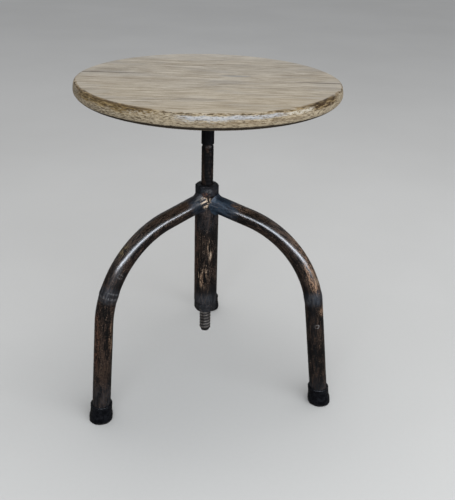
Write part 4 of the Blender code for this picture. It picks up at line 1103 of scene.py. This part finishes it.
    # rubber tip
    slope = math.tan(math.radians(lean))
    b, sl, socket = FOOT_BASE_R, FOOT_SLEEVE_R, LEG_R + 0.0003
    profile = [(b * 0.30, 0.0002), (b * 0.30 + 0.0004, 0.0010), (b * 0.55, 0.0010), (b * 0.55 + 0.0004, 0.0), (b - 0.0032, 0.0)]
    profile += fillet((b - 0.0032, 0.0), (b - 0.0003, 0.0), (b, 0.0050), 0.0028, 6)
    profile += [(b, 0.0056), (b, 0.0066)]
    profile += fillet((b, 0.0066), (b - 0.0002, FOOT_BASE_H - 0.0008), (sl + 0.0004, FOOT_BASE_H + 0.0016), 0.0014, 5)
    profile += fillet((b - 0.0008, FOOT_BASE_H), (sl + 0.0003, FOOT_BASE_H + 0.0020), (sl, FOOT_BASE_H + 0.0048), 0.0020, 5)
    profile += [(sl, 0.0180), (sl - 0.0001, 0.0212), (sl - 0.0002, 0.0222), (sl + 0.0001, 0.0228), (sl + 0.00015, 0.0238)]
    profile += fillet((sl + 0.00015, 0.0238), (sl + 0.0001, FOOT_H), (socket, FOOT_H), 0.0010, 5)
    profile += fillet((sl - 0.0004, FOOT_H), (socket, FOOT_H), (socket, FOOT_H - 0.003), 0.0004, 4)
    profile += [(socket, 0.018), (socket, FOOT_FLOOR + 0.0002), (socket - 0.0004, FOOT_FLOOR), (0.002, FOOT_FLOOR)]
    verts, n = [], 72
    for r, z in profile:
        cx = foot_r - z * slope
        for k in range(n):
            a = TAU * k / n
            rr = r + (0.00012 * wobble((r * math.cos(a), r * math.sin(a), z), 90, seed + 5) if r > 0.013 and 0.0 < z < FOOT_H - 0.0008 and r > socket + 0.0004 else 0.0)
            verts.append((cx + rr * math.cos(a), rr * math.sin(a), z))
    mesh = new_mesh("rubber_tip", turned(verts, azimuth), grid_faces(len(profile), n, False, True))
    piece(f"rubber_tip_{which}", mesh, mats["rubber"], "frame", f"foot_{which}", angle=45)
    return s0, s_splice, s_end


# ------------------------------------------------------------------ put it together
build_seat()
build_plate(plate_metal())
build_screws(bright_metal("screw_steel", (0.50, 0.49, 0.46)))
build_collar(black_paint("boss_black"))
build_spindle(thread_metal())


build_nut("hub_nut_top", TOP_NUT_Z, "top_nut", patina("nut_top", "obj", brown=0.05, gloss=0.34, stretch=0.8, edges=0.0006, shine=0.26, flat=(0.02, 0.02, 0.022), marks=[
    ("blue", "obj", (0.0, -0.010, 0.301 - H), (0.025, 0.012, 0.014), 0.35),
    ("dark", "obj", (0.0, 0.0, 0.307 - H), (0.03, 0.03, 0.004), 0.70),
    ("rust", "obj", (-0.001, -0.0145, 0.2955 - H), (0.0055, 0.004, 0.0030), 0.80),
    ("grey", "obj", (0.003, -0.0145, 0.3010 - H), (0.0060, 0.004, 0.0030), 0.45),
]), 3.0)
build_nut("hub_nut_bottom", BOTTOM_NUT_Z, "bottom_nut", patina("nut_bottom", "obj", brown=0.05, gloss=0.38, stretch=0.8, edges=0.0005, shine=0.26, flat=(0.02, 0.02, 0.022), marks=[
    ("band", "obj", (0.0, -0.010, 0.116 - H), (0.030, 0.016, 0.016), 0.60),
]), 8.0)

HUB_MARKS = [
    ("blue", "obj", (0.0, -0.012, 0.262 - H), (0.020, 0.014, 0.022), 0.18),
    ("dark", "obj", (0.0, -0.012, 0.141 - H), (0.024, 0.016, 0.014), 0.75),
    ("band", "obj", (0.0, -0.012, 0.1270 - H), (0.034, 0.022, 0.0130), 0.80),
    ("dull", "obj", (0.0, -0.012, 0.1300 - H), (0.034, 0.022, 0.0200), 0.70),
    ("rust", "obj", (-0.0150, -0.0080, 0.205 - H), (0.0050, 0.010, 0.055), 0.40),
    ("scratch", "obj", (0.0060, -0.0155, 0.2120 - H), (0.0036, 0.008, 0.0150), 0.90),
    ("cream", "obj", (0.0062, -0.0153, 0.2035 - H), (0.0018, 0.008, 0.0055), 0.90),
    ("scratch", "obj", (-0.0045, -0.0160, 0.1690 - H), (0.0055, 0.008, 0.0180), 0.95),
    ("copper", "obj", (-0.0055, -0.0160, 0.1640 - H), (0.0030, 0.008, 0.0100), 0.50),
    ("scratch", "obj", (0.0030, -0.0165, 0.1820 - H), (0.0030, 0.008, 0.0120), 0.60),
]
ROOT_MARKS = [      # the bare triangle between the two front roots, under the top nut
    ("dull", "obj", (0.0, -0.0175, 0.2850 - H), (0.0175, 0.0120, 0.0170), 0.95),
    ("rust", "obj", (-0.0010, -0.0185, 0.2925 - H), (0.0045, 0.006, 0.0030), 0.85),
    ("grey", "obj", (-0.0090, -0.0190, 0.2900 - H), (0.0050, 0.008, 0.0050), 0.70),
    ("cream", "obj", (-0.0012, -0.0185, 0.2868 - H), (0.0072, 0.007, 0.0060), 1.00),
    ("cream", "obj", (-0.0005, -0.0185, 0.2812 - H), (0.0036, 0.007, 0.0052), 1.00),
]
build_hub(patina("hub_paint", "obj", brown=0.50, gloss=0.24, stretch=0.14, marks=HUB_MARKS + ROOT_MARKS))


def splice_distance(shape):
    start, end, d_in, d_out, on_arc, arc_length = leg_path(*[shape[k] for k in ("axis_z", "fall", "bend_r", "lean", "foot_r")])
    root = Vector((HUB_R + 0.0003, shape["axis_z"] - (HUB_R + 0.0003) * math.tan(math.radians(shape["fall"]))))
    lo, hi = 0.0, 1.0
    for _ in range(50):
        mid = 0.5 * (lo + hi)
        lo, hi = (mid, hi) if on_arc(mid)[0].y > shape["splice_z"] else (lo, mid)
    return (start - root).length + lo * arc_length


MARKS = {
    "left": [
        ("blue", "flow", (0.004, 0.004, 0.004), (0.020, 0.020, 0.016), 0.65),
        ("dull", "flow", (0.0, 0.0, 0.002), (0.024, 0.024, 0.0210), 0.85),
        # painted highlight: a small pale grey patch near the root, on the side facing the light
        ("grey", "flow", (0.0090, 0.0085, 0.0060), (0.0045, 0.0045, 0.0060), 0.60),
        ("olive", "flow", (-0.0010, 0.0120, 0.1272), (0.0060, 0.0050, 0.0095), 0.90),
        ("ring", "flow", (0.0118, 0.0040, 0.1573), (0.0028, 0.0060, 0.0030), 0.75),
        ("tan", "flow", (-0.0020, 0.0125, 0.0900), (0.0110, 0.0075, 0.0850), 0.55),
        ("copper", "flow", (0.0120, -0.0036, 0.2440), (0.0020, 0.0040, 0.0230), 0.45),
        ("rust", "flow", (-0.002, 0.0120, 0.2500), (0.0080, 0.0060, 0.0450), 0.45),
        ("dark", "flow", (0.010, 0.004, 0.1640), (0.0220, 0.0220, 0.0160), 0.75),
        ("dull", "flow", (0.0, 0.0, 0.1700), (0.045, 0.045, 0.0190), 0.92),
    ],
    "right": [
        ("blue", "flow", (-0.004, 0.004, 0.006), (0.024, 0.024, 0.027), 1.0),
        ("dull", "flow", (0.0, 0.0, 0.004), (0.024, 0.024, 0.0300), 0.88),
        ("blue", "flow", (-0.004, 0.010, 0.1975), (0.012, 0.008, 0.0085), 0.85),
        ("copper", "flow", (-0.0045, 0.0105, 0.1680), (0.0105, 0.0085, 0.0230), 0.92),
        ("cream", "flow", (-0.0010, 0.0120, 0.1750), (0.0048, 0.0050, 0.0065), 0.55),
        ("copper", "flow", (-0.0030, 0.0115, 0.0350), (0.0060, 0.0050, 0.0140), 0.45),
        ("tan", "flow", (0.0020, 0.0120, 0.1150), (0.0115, 0.0075, 0.0850), 0.75),
        ("copper", "flow", (0.0010, 0.0122, 0.1350), (0.0065, 0.0040, 0.0300), 0.35),
        ("copper", "flow", (-0.0020, 0.0120, 0.2150), (0.0060, 0.0050, 0.0090), 0.60),
        ("ring", "flow", (-0.0104, 0.0067, 0.2389), (0.0026, 0.0050, 0.0028), 0.75),
        # painted shade: a near-black stripe down the front-left side of the lower post, turned away from the light
        ("dark", "flow", (-0.0125, -0.0020, 0.2700), (0.0060, 0.0080, 0.0900), 0.85),
        ("dull", "flow", (0.0, 0.0, 0.1900), (0.045, 0.045, 0.0250), 0.92),
    ],
    "rear": [
        ("copper", "flow", (0.000, 0.0120, 0.1500), (0.0085, 0.0060, 0.0260), 0.80),
        ("blue", "flow", (0.000, 0.004, 0.004), (0.022, 0.020, 0.018), 0.80),
        ("rust", "flow", (0.009, -0.0060, 0.2600), (0.0080, 0.0080, 0.0500), 0.60),
    ],
}

RUBBER = rubber()
for i, (which, shape) in enumerate(LEGS.items()):
    s = splice_distance(shape)
    marks = list(MARKS[which])
    marks.append(("band", "flow", (0.0, 0.0, s), (0.036, 0.036, 0.0100), 0.90))
    # painted highlight: thin grey lines across the splice weld of the left and rear legs, where its ripples catch the
    # light
    if which != "right":
        marks.append(("grey", "flow", (0.0, 0.0, s + 0.0032), (0.036, 0.036, 0.0015), 0.58))
        marks.append(("grey", "flow", (0.006, -0.004, s - 0.0040), (0.014, 0.014, 0.0013), 0.58))
    marks.append(("band", "flow", (0.0, 0.0, s + 0.1700), (0.040, 0.040, 0.0400), 0.45))
    paint = patina(f"leg_paint_{which}", "flow", brown=0.62, gloss=0.19, stretch=0.16, shine=0.46 if which != "rear" else 0.32, marks=marks + (ROOT_MARKS if which != "rear" else []))
    build_leg(which, mats={"leg": paint, "splice": paint, "rubber": RUBBER}, seed=4.0 + 5.0 * i, **shape)

WASHER = bright_metal("washer_steel", (0.50, 0.49, 0.47), 0.3)
for which in LEGS:
    node = NODES[f"foot_washer_{which}"]
    node.data.materials.clear()
    node.data.materials.append(WASHER)


# ------------------------------------------------------------------ stage, light, camera
def floor_material():
    g = Graph("pale_floor")
    p = g.obj()
    soft = g.noise(p, 1.4, 4.0, 0.55)
    fine = g.noise(p, 160.0, 3.0, 0.6)
    colour = g.mix(g.step(soft, 0.35, 0.65), (0.505, 0.500, 0.490), (0.525, 0.520, 0.510))
    colour = g.mix(g.add("ShaderNodeLightPath", out=3), colour, (0.085, 0.080, 0.075))      # toned down in reflections
    matt = g.add("ShaderNodeBsdfDiffuse", {"Color": g.mix(g.step(fine, 0.40, 0.60, 0.0, 0.5), colour, g.scale(colour, 0.985)), "Roughness": 0.3})
    g.mat.diffuse_color = (0.7, 0.69, 0.67, 1.0)
    # seen from below the floor is clear, so the underside of the stool can be looked at
    clear = g.add("ShaderNodeBsdfTransparent")
    back = g.add("ShaderNodeNewGeometry", out=6)
    mix = g.tree.nodes.new("ShaderNodeMixShader")
    g.tree.links.new(back, mix.inputs[0])
    g.tree.links.new(matt, mix.inputs[1])
    g.tree.nodes.remove(g.bsdf)
    g.tree.links.new(clear, mix.inputs[2])
    g.tree.links.new(mix.outputs[0], g.out.inputs["Surface"])
    return g.mat


bm = bmesh.new()
bmesh.ops.create_grid(bm, x_segments=8, y_segments=8, size=80.0)
floor_mesh = bpy.data.meshes.new("floor")
bm.to_mesh(floor_mesh)
bm.free()
floor_mesh.materials.append(floor_material())
floor = link(bpy.data.objects.new("floor", floor_mesh))
floor.location = (0.0, 0.0, -H - 0.0001)

world = bpy.data.worlds.new("studio")
world.use_nodes = True
wt = world.node_tree
wt.nodes.clear()


def wnode(kind, **inputs):
    node = wt.nodes.new(kind)
    for key, value in inputs.items():
        socket = node.inputs[int(key[1:])]
        if isinstance(value, bpy.types.NodeSocket):
            wt.links.new(value, socket)
        else:
            socket.default_value = value
    return node


# dim in front, brighter behind, brightest overhead
w_sep = wnode("ShaderNodeSeparateXYZ", i0=wnode("ShaderNodeTexCoord").outputs["Generated"])
w_back = wnode("ShaderNodeMapRange", i0=w_sep.outputs[1], i1=-0.8, i2=0.8, i3=0.11, i4=0.52)
w_top = wnode("ShaderNodeMapRange", i0=w_sep.outputs[2], i1=0.15, i2=0.95, i3=0.0, i4=0.50)
w_sum = wnode("ShaderNodeMath", i0=w_back.outputs[0], i1=w_top.outputs[0])
w_seen = wnode("ShaderNodeMapRange", i0=wnode("ShaderNodeLightPath").outputs["Is Glossy Ray"], i3=1.0, i4=0.45)
w_dim = wnode("ShaderNodeMath", i0=w_sum.outputs[0], i1=w_seen.outputs[0])
w_dim.operation = "MULTIPLY"
w_wall = wnode("ShaderNodeMix", i0=wnode("ShaderNodeLightPath").outputs["Is Camera Ray"], i2=w_dim.outputs[0], i3=0.52)
w_bg = wnode("ShaderNodeBackground", i0=(0.95, 0.97, 1.0, 1.0), i1=w_wall.outputs[0])
w_out = wt.nodes.new("ShaderNodeOutputWorld")
wt.links.new(w_bg.outputs[0], w_out.inputs[0])
bpy.context.scene.world = world


def area(name, location, target, size, power, colour=(1.0, 1.0, 1.0), size_y=None):
    data = bpy.data.lights.new(name, "AREA")
    data.shape = "RECTANGLE" if size_y else "DISK"
    data.size = size
    if size_y:
        data.size_y = size_y
    data.energy, data.color = power, colour
    obj = link(bpy.data.objects.new(name, data))
    obj.location = location
    obj.rotation_mode = "QUATERNION"
    obj.rotation_quaternion = (Vector(target) - Vector(location)).to_track_quat("-Z", "Y")
    return obj


def around(azimuth, elevation, distance):
    a, e = math.radians(azimuth), math.radians(elevation)
    return (distance * math.cos(e) * math.cos(a), distance * math.cos(e) * math.sin(a), -0.20 + distance * math.sin(e))


MIDDLE = (0.0, 0.0, -0.20)
glossy = bpy.data.collections.new("painted_metal")
for obj in list(bpy.context.scene.objects):
    if obj.type == "MESH" and obj.name.split("_")[0] in ("collar", "spindle", "hub", "leg", "root", "splice", "rubber", "wood"):
        glossy.objects.link(obj)

# a long soft box in front: one light for the paint to mirror (a bright core in a dimmer surround), one for the plain lighting
for light in (area("strip", around(-69.0, 30.0, 1.75), MIDDLE, 4.2, 38.0, (0.90, 0.95, 1.0), 0.85),
              area("strip_core", around(-69.0, 30.0, 1.70), MIDDLE, 4.1, 86.0, (0.80, 0.875, 1.0), 0.34)):
    light.visible_diffuse = False
    light.light_linking.receiver_collection = glossy
    light.rotation_quaternion = light.rotation_quaternion @ Quaternion((0.0, 0.0, 1.0), math.radians(-6.0))
area("front", around(-67.0, 19.0, 1.75), MIDDLE, 3.6, 45.0, (0.93, 0.97, 1.0), 0.55).visible_glossy = False
area("overhead", (0.1, 0.35, 1.7), MIDDLE, 1.3, 12.0, (1.0, 0.985, 0.96), 1.0)

cam_data = bpy.data.cameras.new("camera")
cam_data.sensor_width = 36.0
cam_data.lens = 52.50
cam_data.clip_start, cam_data.clip_end = 0.02, 200.0
camera = link(bpy.data.objects.new("camera", cam_data))
right, up, forward = Vector((0.99942, 0.02049, 0.02701)), Vector((-0.03322, 0.43174, 0.90138)), Vector((-0.00681, 0.90176, -0.43218))
basis = Matrix((right, up, -forward)).transposed().to_4x4()
basis.translation = Vector((0.03824, -0.95218, 0.2101))
camera.matrix_world = basis
bpy.context.scene.camera = camera

bpy.context.scene.view_settings.view_transform = "Standard"
bpy.context.scene.view_settings.look = "None"
